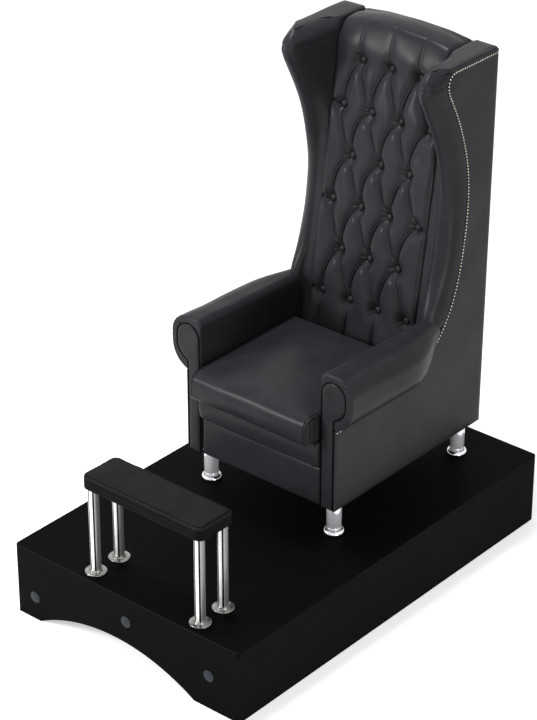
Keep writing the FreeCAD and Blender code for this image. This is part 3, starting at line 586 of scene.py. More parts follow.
class SurfaceEffects:
    """The shader groups that several finishes share."""

    def __init__(self) -> None:
        """Builds each group once."""
        self.grain = self.build_grain()
        self.cloudy = self.build_cloudy()
        self.scratches = self.build_scratches()

    def build_grain(self) -> bpy.types.NodeTree:
        """Pebbled leatherette: small cells, soft handling creases and the tone between the cells.

        Returns:
            The group.
        """
        scales = {"Cell scale": 620.0, "Crease scale": 14.0}
        group = EffectGroup("pebbled_grain", scales, ("Height", "Tone", "Gloss"))
        vector = group.given[0]
        warp = group.add("ShaderNodeTexNoise", {"Vector": vector, "Scale": 90.0, "Detail": 2.0})
        reach = (0.0012, 0.0012, 0.0012)
        shift = group.add("ShaderNodeVectorMath", {0: warp.outputs["Color"], 1: reach}, operation="MULTIPLY")
        place = group.add("ShaderNodeVectorMath", {0: vector, 1: shift.outputs[0]}, operation="ADD")
        cells = group.add(
            "ShaderNodeTexVoronoi",
            {"Vector": place.outputs[0], "Scale": group.given["Cell scale"], "Smoothness": 0.45},
            feature="SMOOTH_F1",
        )
        folds = group.add(
            "ShaderNodeTexNoise",
            {"Vector": vector, "Scale": group.given["Crease scale"], "Detail": 5.0, "Roughness": 0.55},
        ).outputs[0]
        cell = group.ramp(cells.outputs["Distance"], 0.05, 0.55, 1.0, 0.0)
        height = group.math("ADD", group.math("MULTIPLY", cell, 0.35), group.math("MULTIPLY", folds, 0.65))
        group.link(height, group.out["Height"])
        group.link(group.ramp(folds, 0.3, 0.7), group.out["Tone"])
        group.link(group.math("MULTIPLY", cell, group.ramp(folds, 0.35, 0.65)), group.out["Gloss"])
        return group.tree

    def build_cloudy(self) -> bpy.types.NodeTree:
        """Soft uneven patches, as of handling and dust.

        Returns:
            The group.
        """
        group = EffectGroup("cloudy_patches", {"Scale": 6.0, "Contrast": 0.3}, ("Mask",))
        noise = group.add(
            "ShaderNodeTexNoise",
            {"Vector": group.given[0], "Scale": group.given["Scale"], "Detail": 6.0, "Roughness": 0.6},
        )
        half = group.math("MULTIPLY", group.given["Contrast"], 0.5)
        low, high = group.math("SUBTRACT", 0.5, half), group.math("ADD", 0.5, half)
        group.link(group.ramp(noise.outputs[0], low, high), group.out["Mask"])
        return group.tree

    def build_scratches(self) -> bpy.types.NodeTree:
        """Fine lines along one direction, as rolling, drawing or sanding leaves.

        Returns:
            The group.
        """
        group = EffectGroup("fine_lines", {"Across": 300.0, "Along": 6.0}, ("Height",))
        parts = group.add("ShaderNodeSeparateXYZ", {0: group.given[0]}).outputs
        rates = ("Across", "Along", "Across")
        scaled = (group.math("MULTIPLY", part, group.given[rate]) for part, rate in zip(parts, rates))
        stretched = group.combine(*scaled)
        noise = group.add("ShaderNodeTexNoise", {"Vector": stretched, "Scale": 1.0, "Detail": 3.0})
        group.link(noise.outputs[0], group.out["Height"])
        return group.tree


class FinishTree(NodeTree):
    """A new material's tree, with its Principled shader and its Object coordinates."""

    def __init__(self, name: str, effects: SurfaceEffects) -> None:
        """Starts the material.

        Args:
            name: The material's name.
            effects: The shared shader groups.
        """
        self.material = bpy.data.materials.new(name)
        self.material.use_nodes = True
        super().__init__(self.material.node_tree)
        self.effects = effects
        self.shader = self.tree.nodes["Principled BSDF"]
        self.vector = self.add("ShaderNodeTexCoord").outputs["Object"]

    def group(self, group: bpy.types.NodeTree, **values: float) -> bpy.types.bpy_prop_collection:
        """Places a shared group.

        Args:
            group: The group.
            **values: Its number inputs.

        Returns:
            The node's outputs.
        """
        return self.add("ShaderNodeGroup", {"Vector": self.vector, **values}, node_tree=group).outputs

    def feed(self, **inputs: object) -> None:
        """Feeds inputs of the shader, named with _ for spaces."""
        for label, value in inputs.items():
            self.link(value, self.shader.inputs[label.replace("_", " ")])

    def emboss(self, height: Socket, strength: float, distance: float) -> None:
        """Feeds a bump to the shader's normal."""
        bump = self.add("ShaderNodeBump", {"Strength": strength, "Distance": distance, "Height": height})
        self.feed(Normal=bump.outputs[0])


@dataclass(frozen=True)
class Finish:
    """What every finish has: a name, a slot and two base colours that it varies between."""

    name: str
    slot: Slot
    dark: Triple
    light: Triple

    def build(self, effects: SurfaceEffects) -> bpy.types.Material:
        """Builds the material.

        Args:
            effects: The shared shader groups.

        Returns:
            The material.
        """
        tree = FinishTree(self.name, effects)
        self.paint(tree)
        return tree.material

    def paint(self, tree: FinishTree) -> None:
        """Feeds the shader in the finish's own way."""
        raise NotImplementedError

    def between(self, tree: FinishTree, tone: Socket) -> Socket:
        """The base colour at a tone from 0, dark, to 1, light."""
        return tree.mix(tone, (*self.dark, 1.0), (*self.light, 1.0))


@dataclass(frozen=True)
class Leatherette(Finish):
    """Pebbled coated cloth over foam."""

    roughness: float = 0.26
    bump: float = 0.3
    bump_distance: float = 0.0006
    specular: float = 0.09

    def paint(self, tree: FinishTree) -> None:
        """Feeds the shader the grain over soft patches.

        Args:
            tree: The material's tree.
        """
        grain = tree.group(tree.effects.grain)
        patches = tree.group(tree.effects.cloudy, Scale=7.0, Contrast=0.5)[0]
        tone = tree.math("MULTIPLY", tree.math("ADD", grain["Tone"], patches), 0.5)
        tree.feed(
            Base_Color=self.tinted(tree, self.between(tree, tone)),
            Roughness=tree.ramp(grain["Gloss"], 0.0, 1.0, self.roughness + 0.05, self.roughness - 0.05),
            Specular_IOR_Level=self.specular,
        )
        tree.emboss(grain["Height"], self.bump, self.bump_distance)

    def tinted(self, tree: FinishTree, colour: Socket) -> Socket:
        """The colour as it changes over the piece; plain here."""
        return colour


@dataclass(frozen=True)
class BandedLeatherette(Leatherette):
    """Leatherette whose colour turns darker below a set height: a lighter top and a darker band round its
    sides.
    """

    band_top: float = 0.611
    band_edge: float = 0.001
    band: Triple = (0.0032, 0.0032, 0.0034)

    def tinted(self, tree: FinishTree, colour: Socket) -> Socket:
        """The band's colour low on the sides.

        Args:
            tree: The material's tree.
            colour: The colour of the top.

        Returns:
            The colour all over.
        """
        height = tree.add("ShaderNodeSeparateXYZ", {0: tree.vector}).outputs[2]
        high = tree.ramp(height, self.band_top - self.band_edge, self.band_top + self.band_edge)
        return tree.mix(high, (*self.band, 1.0), colour)


@dataclass(frozen=True)
class Metal(Finish):
    """Polished, plated or painted metal."""

    roughness: float = 0.08
    uneven: float = 0.04
    bump: float = 0.05
    bump_distance: float = 0.0001
    metallic: float = 1.0

    def paint(self, tree: FinishTree) -> None:
        """Feeds the shader a colour and a gloss that vary a little.

        Args:
            tree: The material's tree.
        """
        patches = tree.group(tree.effects.cloudy, Scale=30.0, Contrast=0.6)[0]
        lines = tree.group(tree.effects.scratches, Across=900.0, Along=900.0)[0]
        tree.feed(
            Base_Color=self.between(tree, patches),
            Roughness=tree.ramp(patches, 0.0, 1.0, self.roughness, self.roughness + self.uneven),
            Metallic=self.metallic,
        )
        tree.emboss(lines, self.bump, self.bump_distance)


@dataclass(frozen=True)
class StreakedTube(Metal):
    """Drawn chrome tube: bright and dark streaks that run up its whole length.

    The painted bands are placed by the turn round the nearest post of a regular group.
    """

    first: Pair = (-0.1665, -0.7215)
    spacing: Pair = (0.443, 0.107)
    turned: float = 2.436
    specular: float = 0.1
    streaks: tuple[Pair, ...] = (
        (0.0, 0.16), (0.17, 0.36), (0.19, 0.01), (0.235, 0.01), (0.262, 0.95), (0.435, 0.95), (0.452, 0.003),
        (0.542, 0.003), (0.565, 0.42), (0.63, 0.28), (0.72, 0.25), (0.745, 0.14), (0.80, 0.30), (0.9, 0.2),
    )

    def paint(self, tree: FinishTree) -> None:
        """Feeds the shader the painted reflection bands in place of the plain colour.

        Args:
            tree: The material's tree.
        """
        super().paint(tree)
        parts = tree.add("ShaderNodeSeparateXYZ", {0: tree.vector}).outputs
        near = []
        for axis in range(2):
            away = tree.math("SUBTRACT", parts[axis], self.first[axis])
            half = self.spacing[axis] / 2
            near.append(tree.add("ShaderNodeMath", {0: away, 1: half, 2: -half}, operation="WRAP").outputs[0])
        turn = tree.math("ADD", tree.math("ARCTAN2", near[1], near[0]), self.turned)
        # Painted reflection: a grey level for each turn round the post, the same from every view.
        ramp = tree.add("ShaderNodeValToRGB", {0: tree.math("FRACT", tree.math("DIVIDE", turn, math.pi))})
        stops = ramp.color_ramp.elements
        stops.remove(stops[1])
        stops[0].position = self.streaks[0][0]
        stops[0].color = (*[self.streaks[0][1]] * 3, 1.0)
        for position, value in self.streaks[1:]:
            stops.new(position).color = (value, value, value, 1.0)
        tree.feed(Base_Color=ramp.outputs[0], Specular_IOR_Level=self.specular)


@dataclass(frozen=True)
class Laminate(Finish):
    """Near-black coated board, with a painted highlight along its outer top edge."""

    roughness: float = 0.6
    specular: float = 0.03
    arris_height: float = 0.2588
    arris_reach: Pair = (0.4790, 0.7738)
    arris_beside: float = 0.35
    arris: Triple = (0.013, 0.013, 0.013)

    def paint(self, tree: FinishTree) -> None:
        """Feeds the shader the board's colour and a paler painted highlight along its outer top edge.

        Args:
            tree: The material's tree.
        """
        patches = tree.group(tree.effects.cloudy, Scale=3.0, Contrast=0.5)[0]
        lines = tree.group(tree.effects.scratches, Across=420.0, Along=9.0)[0]
        parts = tree.add("ShaderNodeSeparateXYZ", {0: tree.vector}).outputs
        # Mask of the painted highlight: the top of the board near its outer edges, full at front and back and
        # a share at the sides.
        beside = tree.math("GREATER_THAN", tree.math("ABSOLUTE", parts[0]), self.arris_reach[0])
        ahead = tree.math("GREATER_THAN", tree.math("ABSOLUTE", parts[1]), self.arris_reach[1])
        high = tree.math("GREATER_THAN", parts[2], self.arris_height)
        edge = tree.math("MAXIMUM", tree.math("MULTIPLY", beside, self.arris_beside), ahead)
        board = self.between(tree, patches)
        tree.feed(
            Base_Color=tree.mix(tree.math("MULTIPLY", high, edge), board, (*self.arris, 1.0)),
            Roughness=tree.ramp(patches, 0.0, 1.0, self.roughness - 0.04, self.roughness + 0.06),
            Specular_IOR_Level=self.specular,
        )
        tree.emboss(lines, 0.12, 0.0003)


@dataclass(frozen=True)
class Timber(Finish):
    """Bare softwood and plywood of the hidden frame."""

    def paint(self, tree: FinishTree) -> None:
        """Feeds the shader the wood's long lines over soft patches.

        Args:
            tree: The material's tree.
        """
        lines = tree.group(tree.effects.scratches, Across=160.0, Along=5.0)[0]
        patches = tree.group(tree.effects.cloudy, Scale=9.0, Contrast=0.6)[0]
        tone = tree.math("MULTIPLY", tree.ramp(lines, 0.3, 0.7), tree.ramp(patches, 0.0, 1.0, 0.6, 1.0))
        tree.feed(Base_Color=self.between(tree, tone), Roughness=tree.ramp(lines, 0.0, 1.0, 0.55, 0.75))
        tree.emboss(lines, 0.3, 0.0006)


@dataclass(frozen=True)
class WovenCloth(Finish):
    """Plain black weave of the webbing, the dust cover and the deck pad."""

    threads: float = 700.0

    def paint(self, tree: FinishTree) -> None:
        """Feeds the shader the weave of two crossing threads.

        Args:
            tree: The material's tree.
        """
        wave = {"Vector": tree.vector, "Scale": self.threads, "Distortion": 0.6}
        warp, weft = (tree.add("ShaderNodeTexWave", wave, bands_direction=axis).outputs[1] for axis in "XY")
        height = tree.math("MULTIPLY", warp, weft)
        patches = tree.group(tree.effects.cloudy, Scale=12.0, Contrast=0.6)[0]
        tree.feed(Base_Color=self.between(tree, patches), Roughness=tree.ramp(height, 0.0, 1.0, 0.95, 0.8))
        tree.emboss(height, 0.4, 0.0004)


@dataclass(frozen=True)
class MouldedPlastic(Finish):
    """Satin plastic of the screw caps."""

    roughness: float = 0.38
    specular: float = 0.1

    def paint(self, tree: FinishTree) -> None:
        """Feeds the shader a satin surface with a fine texture.

        Args:
            tree: The material's tree.
        """
        patches = tree.group(tree.effects.cloudy, Scale=60.0, Contrast=0.6)[0]
        fine = tree.add("ShaderNodeTexNoise", {"Vector": tree.vector, "Scale": 1500.0})
        tree.feed(
            Base_Color=self.between(tree, patches),
            Roughness=tree.ramp(patches, 0.0, 1.0, self.roughness, self.roughness + 0.1),
            Specular_IOR_Level=self.specular,
        )
        tree.emboss(fine.outputs[0], 0.1, 0.0002)


class Palette:
    """Every finish on the chair and its platform."""

    def __init__(self) -> None:
        """Builds the materials."""
        leather, chrome = Slot.LEATHERETTE, Slot.CHROME
        bright = ((0.86, 0.87, 0.89), (0.93, 0.93, 0.94))
        self.finishes: dict[str, Finish] = {
            "upholstery": Leatherette(
                "charcoal_leatherette", leather, (0.0180, 0.0176, 0.0208), (0.0260, 0.0254, 0.0298)
            ),
            # Near-black, far darker than the cover: this colour is partly painted shade, standing in for the
            # groove round each welt; it also draws the painted shade lines in the cushion's folds and the
            # real dark stitches.
            "welt": Leatherette(
                "dark_welt_leatherette", leather, (0.0020, 0.0020, 0.0024), (0.0032, 0.0032, 0.0038),
                specular=0.03,
            ),
            "footrest": BandedLeatherette(
                "black_leatherette", leather, (0.0105, 0.0105, 0.0107), (0.0155, 0.0155, 0.0157),
                roughness=0.5, specular=0.03,
            ),
            # The posts' dark and bright bands are painted reflections.
            "post": StreakedTube("streaked_chrome", chrome, *bright, roughness=0.28, metallic=0.5),
            "chrome": Metal("polished_chrome", chrome, *bright, roughness=0.05),
            "nickel": Metal(
                "satin_nickel", chrome, (0.20, 0.196, 0.186), (0.46, 0.45, 0.43), roughness=0.22, uneven=0.1
            ),
            "zinc": Metal(
                "zinc_steel", Slot.STEEL, (0.42, 0.43, 0.45), (0.55, 0.56, 0.58), roughness=0.32, uneven=0.12
            ),
            "legs": Metal(
                "bright_chrome", chrome, (0.90, 0.92, 0.96), (0.96, 0.97, 1.0), roughness=0.07, metallic=0.45
            ),
            "brass": Metal(
                "antique_brass", Slot.BRASS, (0.36, 0.33, 0.28), (0.66, 0.63, 0.56),
                roughness=0.25, uneven=0.15,
            ),
            "laminate": Laminate(
                "black_laminate_board", Slot.LAMINATE, (0.0010, 0.0010, 0.0011), (0.0017, 0.0017, 0.0018)
            ),
            "timber": Timber("frame_timber", Slot.TIMBER, (0.33, 0.20, 0.10), (0.62, 0.45, 0.27)),
            "cloth": WovenCloth("black_webbing", Slot.CLOTH, (0.008, 0.008, 0.009), (0.018, 0.018, 0.019)),
            "cap": MouldedPlastic("blue_grey_cap", Slot.CAP, (0.018, 0.022, 0.028), (0.034, 0.040, 0.048)),
        }
        effects = SurfaceEffects()
        self.materials = {key: finish.build(effects) for key, finish in self.finishes.items()}

    def dress(self, obj: Obj, key: str) -> None:
        """Gives an object one finish all over."""
        obj.data.materials.clear()
        obj.data.materials.append(self.materials[key])

    def dress_node(self, name: str, key: str) -> None:
        """Gives a carried-over node one finish through its object's own slots.

        Args:
            name: The node.
            key: The finish's key.
        """
        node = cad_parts[name]
        if not node.material_slots:
            node.data.materials.append(self.materials[key])
        for slot in node.material_slots:
            slot.link = "OBJECT"
            slot.material = self.materials[key]


# Geometry Nodes


def points_object(
    name: str, points: Array, origin: Array = CHAIR_ORIGIN, linked: bool = False
) -> Obj:
    """Makes a mesh of loose points, or of one polyline through them.

    Args:
        name: The object's name.
        points: Points in millimetres.
        origin: Their frame's origin, in millimetres.
        linked: Whether each point is joined to the next.

    Returns:
        The object.
    """
    mesh = bpy.data.meshes.new(name)
    edges = [(i, i + 1) for i in range(len(points) - 1)] if linked else []
    mesh.from_pydata(((points + origin) * MM).tolist(), edges, [])
    return linked_object(name, mesh)


class GeometryTree(NodeTree):
    """A Geometry Nodes tree with named inputs that works on a mesh."""

    def __init__(self, name: str, inputs: dict[str, float]) -> None:
        """Starts the tree.

        Args:
            name: The tree's name.
            inputs: Number inputs and their defaults.
        """
        super().__init__(bpy.data.node_groups.new(name, "GeometryNodeTree"))
        face = self.tree.interface
        face.new_socket("Geometry", in_out="INPUT", socket_type="NodeSocketGeometry")
        self.identifiers: dict[str, str] = {}
        for label, default in inputs.items():
            socket = face.new_socket(label, in_out="INPUT", socket_type="NodeSocketFloat")
            socket.default_value = default
            self.identifiers[label] = socket.identifier
        finish = face.new_socket("Finish", in_out="INPUT", socket_type="NodeSocketMaterial")
        self.identifiers["Finish"] = finish.identifier
        face.new_socket("Geometry", in_out="OUTPUT", socket_type="NodeSocketGeometry")
        self.given = self.add("NodeGroupInput").outputs
        self.out = self.add("NodeGroupOutput").inputs

    def path(self) -> Socket:
        """The given polyline as a curve."""
        return self.add("GeometryNodeMeshToCurve", {0: self.given["Geometry"]}).outputs[0]

    def spaced_path(self) -> Socket:
        """The given polyline as a curve with a point at every pitch."""
        node = self.add("GeometryNodeResampleCurve", {0: self.path()}, mode="LENGTH")
        self.link(self.given["Pitch"], node.inputs["Length"])
        return node.outputs[0]

    def points(self) -> Socket:
        """The given mesh's vertices as points."""
        return self.add("GeometryNodeMeshToPoints", {0: self.given["Geometry"]}).outputs[0]

    def moved(self, shape: Socket, **inputs: Socket) -> Socket:
        """Moves, turns or scales a shape, by the names of the node's inputs."""
        return self.add("GeometryNodeTransform", {0: shape, **inputs}).outputs[0]

    def ball(self, segments: int, rings: int, radius: Socket, scale: Socket) -> Socket:
        """Makes a sphere and scales it.

        Args:
            segments: How many steps it has round its axis.
            rings: How many rings it has.
            radius: Its radius.
            scale: Its scale along each axis.

        Returns:
            The shape.
        """
        ball = self.add("GeometryNodeMeshUVSphere", {"Segments": segments, "Rings": rings, "Radius": radius})
        return self.moved(ball.outputs[0], Scale=scale)

    def close(self, shape: Socket) -> None:
        """Ends the tree: instances made real, shaded smooth and given their finish.

        Args:
            shape: What the tree has made.
        """
        real = self.add("GeometryNodeRealizeInstances", {0: shape})
        shaded = self.add("GeometryNodeSetShadeSmooth", {0: real.outputs[0]})
        dressed = {0: shaded.outputs[0], "Material": self.given["Finish"]}
        painted = self.add("GeometryNodeSetMaterial", dressed)
        self.link(painted.outputs[0], self.out[0])

    def repeat(self, points: Socket, shape: Socket, **inputs: Socket) -> None:
        """Places a shape on each point and ends the tree.

        Args:
            points: The points.
            shape: The shape.
            **inputs: Further inputs of the node, such as Rotation.
        """
        placed = self.add("GeometryNodeInstanceOnPoints", {0: points, "Instance": shape, **inputs})
        self.close(placed.outputs[0])

    def run(self, obj: Obj, material: bpy.types.Material, **values: float) -> None:
        """Runs the tree on an object and keeps its plain mesh.

        Args:
            obj: The mesh that holds the points or path.
            material: The finish of what is made.
            **values: The tree's inputs.
        """
        modifier = obj.modifiers.new("Repeat", "NODES")
        modifier.node_group = self.tree
        modifier[self.identifiers["Finish"]] = material
        for label, value in values.items():
            modifier[self.identifiers[label]] = value
        obj.update_tag()
        apply_modifiers(obj)


class RepeatTrees:
    """The trees that make what repeats or follows a line."""

    def __init__(self) -> None:
        """Builds each tree once."""
        self.nailheads = self.build_nailheads()
        self.welt = self.build_welt()
        self.buttons = self.build_buttons()
        self.stitches = self.build_stitches()
        self.screw_heads = self.build_screw_heads()

    def build_nailheads(self) -> GeometryTree:
        """Domed nailheads side by side along a path on a plane that faces sideways.

        Returns:
            The tree.
        """
        tree = GeometryTree("nailhead_row", {"Pitch": 0.0113, "Radius": 0.0032, "Dome": 0.0026})
        radius = tree.given["Radius"]
        flat = tree.combine(tree.math("DIVIDE", tree.given["Dome"], radius), 1.0, 1.0)
        tree.repeat(tree.spaced_path(), tree.ball(10, 6, radius, flat))
        return tree

    def build_welt(self) -> GeometryTree:
        """A round welt cord along a path.

        Returns:
            The tree.
        """
        tree = GeometryTree("welt_cord", {"Radius": 0.0025})
        ring = tree.add("GeometryNodeCurvePrimitiveCircle", {"Resolution": 8, "Radius": tree.given["Radius"]})
        swept = tree.add("GeometryNodeCurveToMesh", {0: tree.path(), 1: ring.outputs[0], "Fill Caps": True})
        tree.close(swept.outputs[0])
        return tree

    def build_buttons(self) -> GeometryTree:
        """Covered buttons: a soft dome whose cloth is drawn a little unevenly over it.

        Returns:
            The tree.
        """
        inputs = {"Radius": 0.011, "Dome": 0.0048, "Lean": -0.15, "Pucker": 0.0005}
        tree = GeometryTree("covered_buttons", inputs)
        radius = tree.given["Radius"]
        rise = tree.math("DIVIDE", tree.given["Dome"], radius)
        flat = tree.ball(20, 12, radius, tree.combine(1.0, rise, 1.0))
        place = tree.add("GeometryNodeInputPosition").outputs[0]
        noise = tree.add("ShaderNodeTexNoise", {"Vector": place, "Scale": 260.0, "Detail": 2.0})
        away = tree.add("ShaderNodeVectorMath", {0: place}, operation="NORMALIZE")
        size = tree.math("MULTIPLY", tree.math("SUBTRACT", noise.outputs[0], 0.5), tree.given["Pucker"])
        offset = tree.add("ShaderNodeVectorMath", {0: away.outputs[0], "Scale": size}, operation="SCALE")
        puckered = tree.add("GeometryNodeSetPosition", {0: flat, "Offset": offset.outputs[0]})
        tree.repeat(tree.points(), puckered.outputs[0], Rotation=tree.combine(tree.given["Lean"]))
        return tree

    def build_stitches(self) -> GeometryTree:
        """Short thread stitches along a path.

        Returns:
            The tree.
        """
        tree = GeometryTree("stitch_row", {"Pitch": 0.0042, "Length": 0.0029, "Thread": 0.0004})
        thread = tree.given["Thread"]
        long = tree.math("DIVIDE", tree.math("MULTIPLY", tree.given["Length"], 0.5), thread)
        stitch = tree.ball(6, 5, thread, tree.combine(1.0, 1.0, long))
        tangent = tree.add("GeometryNodeInputTangent").outputs[0]
        turn = tree.add("FunctionNodeAlignRotationToVector", {"Vector": tangent}, axis="Z")
        tree.repeat(tree.spaced_path(), stitch, Rotation=turn.outputs[0])
        return tree

    def build_screw_heads(self) -> GeometryTree:
        """Pan heads with a cross recess, facing up, with their shanks below.

        Returns:
            The tree.
        """
        inputs = {"Radius": 0.004, "Height": 0.0016, "Recess": 0.0009, "Shank": 0.014}
        tree = GeometryTree("pan_head_screws", inputs)
        radius, height, length = (tree.given[label] for label in ("Radius", "Height", "Shank"))
        dome = tree.ball(20, 12, radius, tree.combine(1.0, 1.0, tree.math("DIVIDE", height, radius)))
        span, blade = (tree.math("MULTIPLY", radius, share) for share in (1.15, 0.24))
        deep = tree.math("MULTIPLY", tree.given["Recess"], 2.0)
        head = tree.add("GeometryNodeMeshBoolean", {0: dome}, operation="DIFFERENCE")
        for sides in ((span, blade), (blade, span)):
            bar = tree.add("GeometryNodeMeshCube", {"Size": tree.combine(*sides, deep)})
            tree.link(tree.moved(bar.outputs[0], Translation=tree.combine(z=height)), head.inputs[1])
        thin = tree.math("MULTIPLY", radius, 0.5)
        shank = tree.add("GeometryNodeMeshCylinder", {"Vertices": 12, "Radius": thin, "Depth": length})
        drop = tree.combine(z=tree.math("MULTIPLY", length, -0.5))
        whole = tree.add("GeometryNodeJoinGeometry")
        tree.link(head.outputs[0], whole.inputs[0])
        tree.link(tree.moved(shank.outputs[0], Translation=drop), whole.inputs[0])
        tree.repeat(tree.points(), whole.outputs[0])
        return tree


# The chair's shared lines


@dataclass(frozen=True)
class ChairLines:
    """Sizes of the chair's body that several pieces follow, in millimetres in the chair's frame."""

    half_width: float = 315.0
    depth: float = 780.0
    side_height: float = 1345.0
    wing_top: float = 1352.0
    outer_lean: float = 20.0
    skin: float = 12.0
    back_half_width: float = 219.0
    seat_line: float = 320.0
    back_at_seat_line: float = 505.0
    recline: float = 160.0 / 1035.0
    pad_bottom: float = 150.0
    pad_top: float = 1302.0
    rail_top: float = 137.0
    deck_top: float = 238.0
    wing_stations: tuple[Triple, ...] = (
        (478.0, 498.0, 566.0), (545.0, 524.0, 598.0), (640.0, 556.0, 625.0), (740.0, 574.0, 643.0),
        (850.0, 583.0, 652.0), (950.0, 573.0, 648.0), (1060.0, 546.0, 624.0), (1160.0, 505.0, 587.0),
        (1240.0, 464.0, 547.0), (1300.0, 447.0, 527.0), (1345.0, 470.0, 556.0),
    )
    sweep: tuple[Pair, ...] = ((360.0, 300.0), (415.0, 315.0), (460.0, 350.0), (512.0, 406.0))

    def back_y(self, z: Array | float) -> Array | float:
        """The plane of the inside back at a height."""
        return self.back_at_seat_line + self.recline * (z - self.seat_line)

    def outer_y(self, z: Array | float) -> Array | float:
        """The face of the outside back at a height."""
        return self.depth + self.outer_lean * z / self.side_height

    def nail_line(self, count: int) -> Array:
        """The seam under the arm and up the wing, as (y, z) from the sweep's start to the top."""
        points = list(self.sweep) + [(nail, z) for z, _front, nail in self.wing_stations]
        return spline_path(points, count)

    def nail_y(self, z: Array) -> Array:
        """The nail line's y at each height."""
        line = self.nail_line(400)
        return np.interp(z, line[:, 1], line[:, 0])


# The workshop


class Workshop:
    """Holds what every sub-assembly shares, and finishes each piece."""

    def __init__(self, palette: Palette, trees: RepeatTrees, lines: ChairLines) -> None:
        """Keeps the finishes, the trees and the chair's lines.

        Args:
            palette: The finishes.
            trees: The trees that make what repeats.
            lines: The chair's shared lines.
        """
        self.palette = palette
        self.trees = trees
        self.lines = lines

    def piece(
        self, obj: Obj, finish: str, replaces: Sequence[str] = (), body: str = ROOT_BODY,
        angle: float = 40.0, fill: float | None = None,
    ) -> None:
        """Finishes one piece: material, shading, the body it rides on and the nodes it stands for.

        Args:
            obj: The piece.
            finish: The key of its finish in the palette.
            replaces: Nodes that it stands for.
            body: The body that it rides on.
            angle: Edges sharper than this stay sharp, in degrees.
            fill: How full a padded piece is, or None for a hard one; not used.
        """
        self.palette.dress(obj, finish)
        smooth(obj, angle)
        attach(obj, body)
        if replaces:
            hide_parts(*replaces)
        LOG.info("%s: %d faces", obj.name, len(obj.data.polygons))

    def repeated(
        self, tree: GeometryTree, obj: Obj, finish: str, replaces: Sequence[str] = (),
        body: str = ROOT_BODY, angle: float = 80.0, **values: float,
    ) -> None:
        """Runs a tree on points or a path and finishes the piece that it makes.

        Args:
            tree: The tree.
            obj: The points or the path.
            finish: The key of its finish in the palette.
            replaces: Nodes that it stands for.
            body: The body that it rides on.
            angle: Edges sharper than this stay sharp, in degrees.
            **values: The tree's inputs.
        """
        tree.run(obj, self.palette.materials[finish], **values)
        self.piece(obj, finish, replaces, body, angle)


@dataclass
class SubAssembly:
    """A part of the chair that is built in the workshop."""

    shop: Workshop

    @property
    def lines(self) -> ChairLines:
        """The chair's shared lines."""
        return self.shop.lines

    @property
    def trees(self) -> RepeatTrees:
        """The trees that make what repeats."""
        return self.shop.trees


# Tufted inside back


@dataclass(frozen=True)
class Crease:
    """One pleat of the tufting, from one point of the pad's face to another, as (x, run)."""

    start: Pair
    end: Pair
    depth: float
    bow: float = 0.0
    reach: float = 34.0
    fold: float = 0.0
    skew: float = 0.0
    end_share: float = 1.0
    line: float = 1.0

    def locate(self, x: Array, run: Array) -> tuple[Array, Array, Array]:
        """Where points lie beside the pleat.

        Args:
            x: The points' x.
            run: The points' run up the face.

        Returns:
            The share along the pleat, the signed distance across it and the true distance from it.
        """
        along = np.subtract(self.end, self.start)
        length = float(np.hypot(*along))
        share = ((x - self.start[0]) * along[0] + (run - self.start[1]) * along[1]) / length**2
        across = ((x - self.start[0]) * along[1] - (run - self.start[1]) * along[0]) / length
        held = np.clip(share, 0.0, 1.0)
        across = across + self.bow * 4 * held * (1 - held) * (1 + self.skew * (2 * held - 1))
        over = (share - held) * length
        return held, across, np.hypot(across, over)

    def fade(self, share: Array) -> Array:
        """How much of the pleat is left along its way."""
        return 1.0 + (self.end_share - 1.0) * share

    def openness(self, share: Array, distance: Array, full: float) -> Array:
        """How much of the foam's height is left at a distance from the pleat."""
        t = np.clip(distance / self.reach, 0.0, 1.0)
        return 1.0 - self.depth / full * self.fade(share) * (1 - t) ** 2.3

    def lines(self, share: Array, across: Array, distance: Array) -> Array:
        """The tight creases of the pleat: its bottom and the edge of its double fold.

        Args:
            share: Each point's share along the pleat.
            across: Its signed distance across it.
            distance: Its true distance from it.

        Returns:
            A depth for each point.
        """
        taper = np.sqrt(np.sin(np.pi * np.clip(share, 0.0, 1.0)))
        near = np.exp(-((distance / 2.3) ** 2)) * (1.5 + 3.0 * taper)
        if self.fold != 0.0:
            width = self.fold * taper
            second = np.exp(-(((across - width) / 2.1) ** 2))
            ridge = np.exp(-(((across - 0.5 * width) / 2.6) ** 2))
            near = near + taper * (3.6 * second - 2.4 * ridge)
        return near * self.fade(share) * self.line


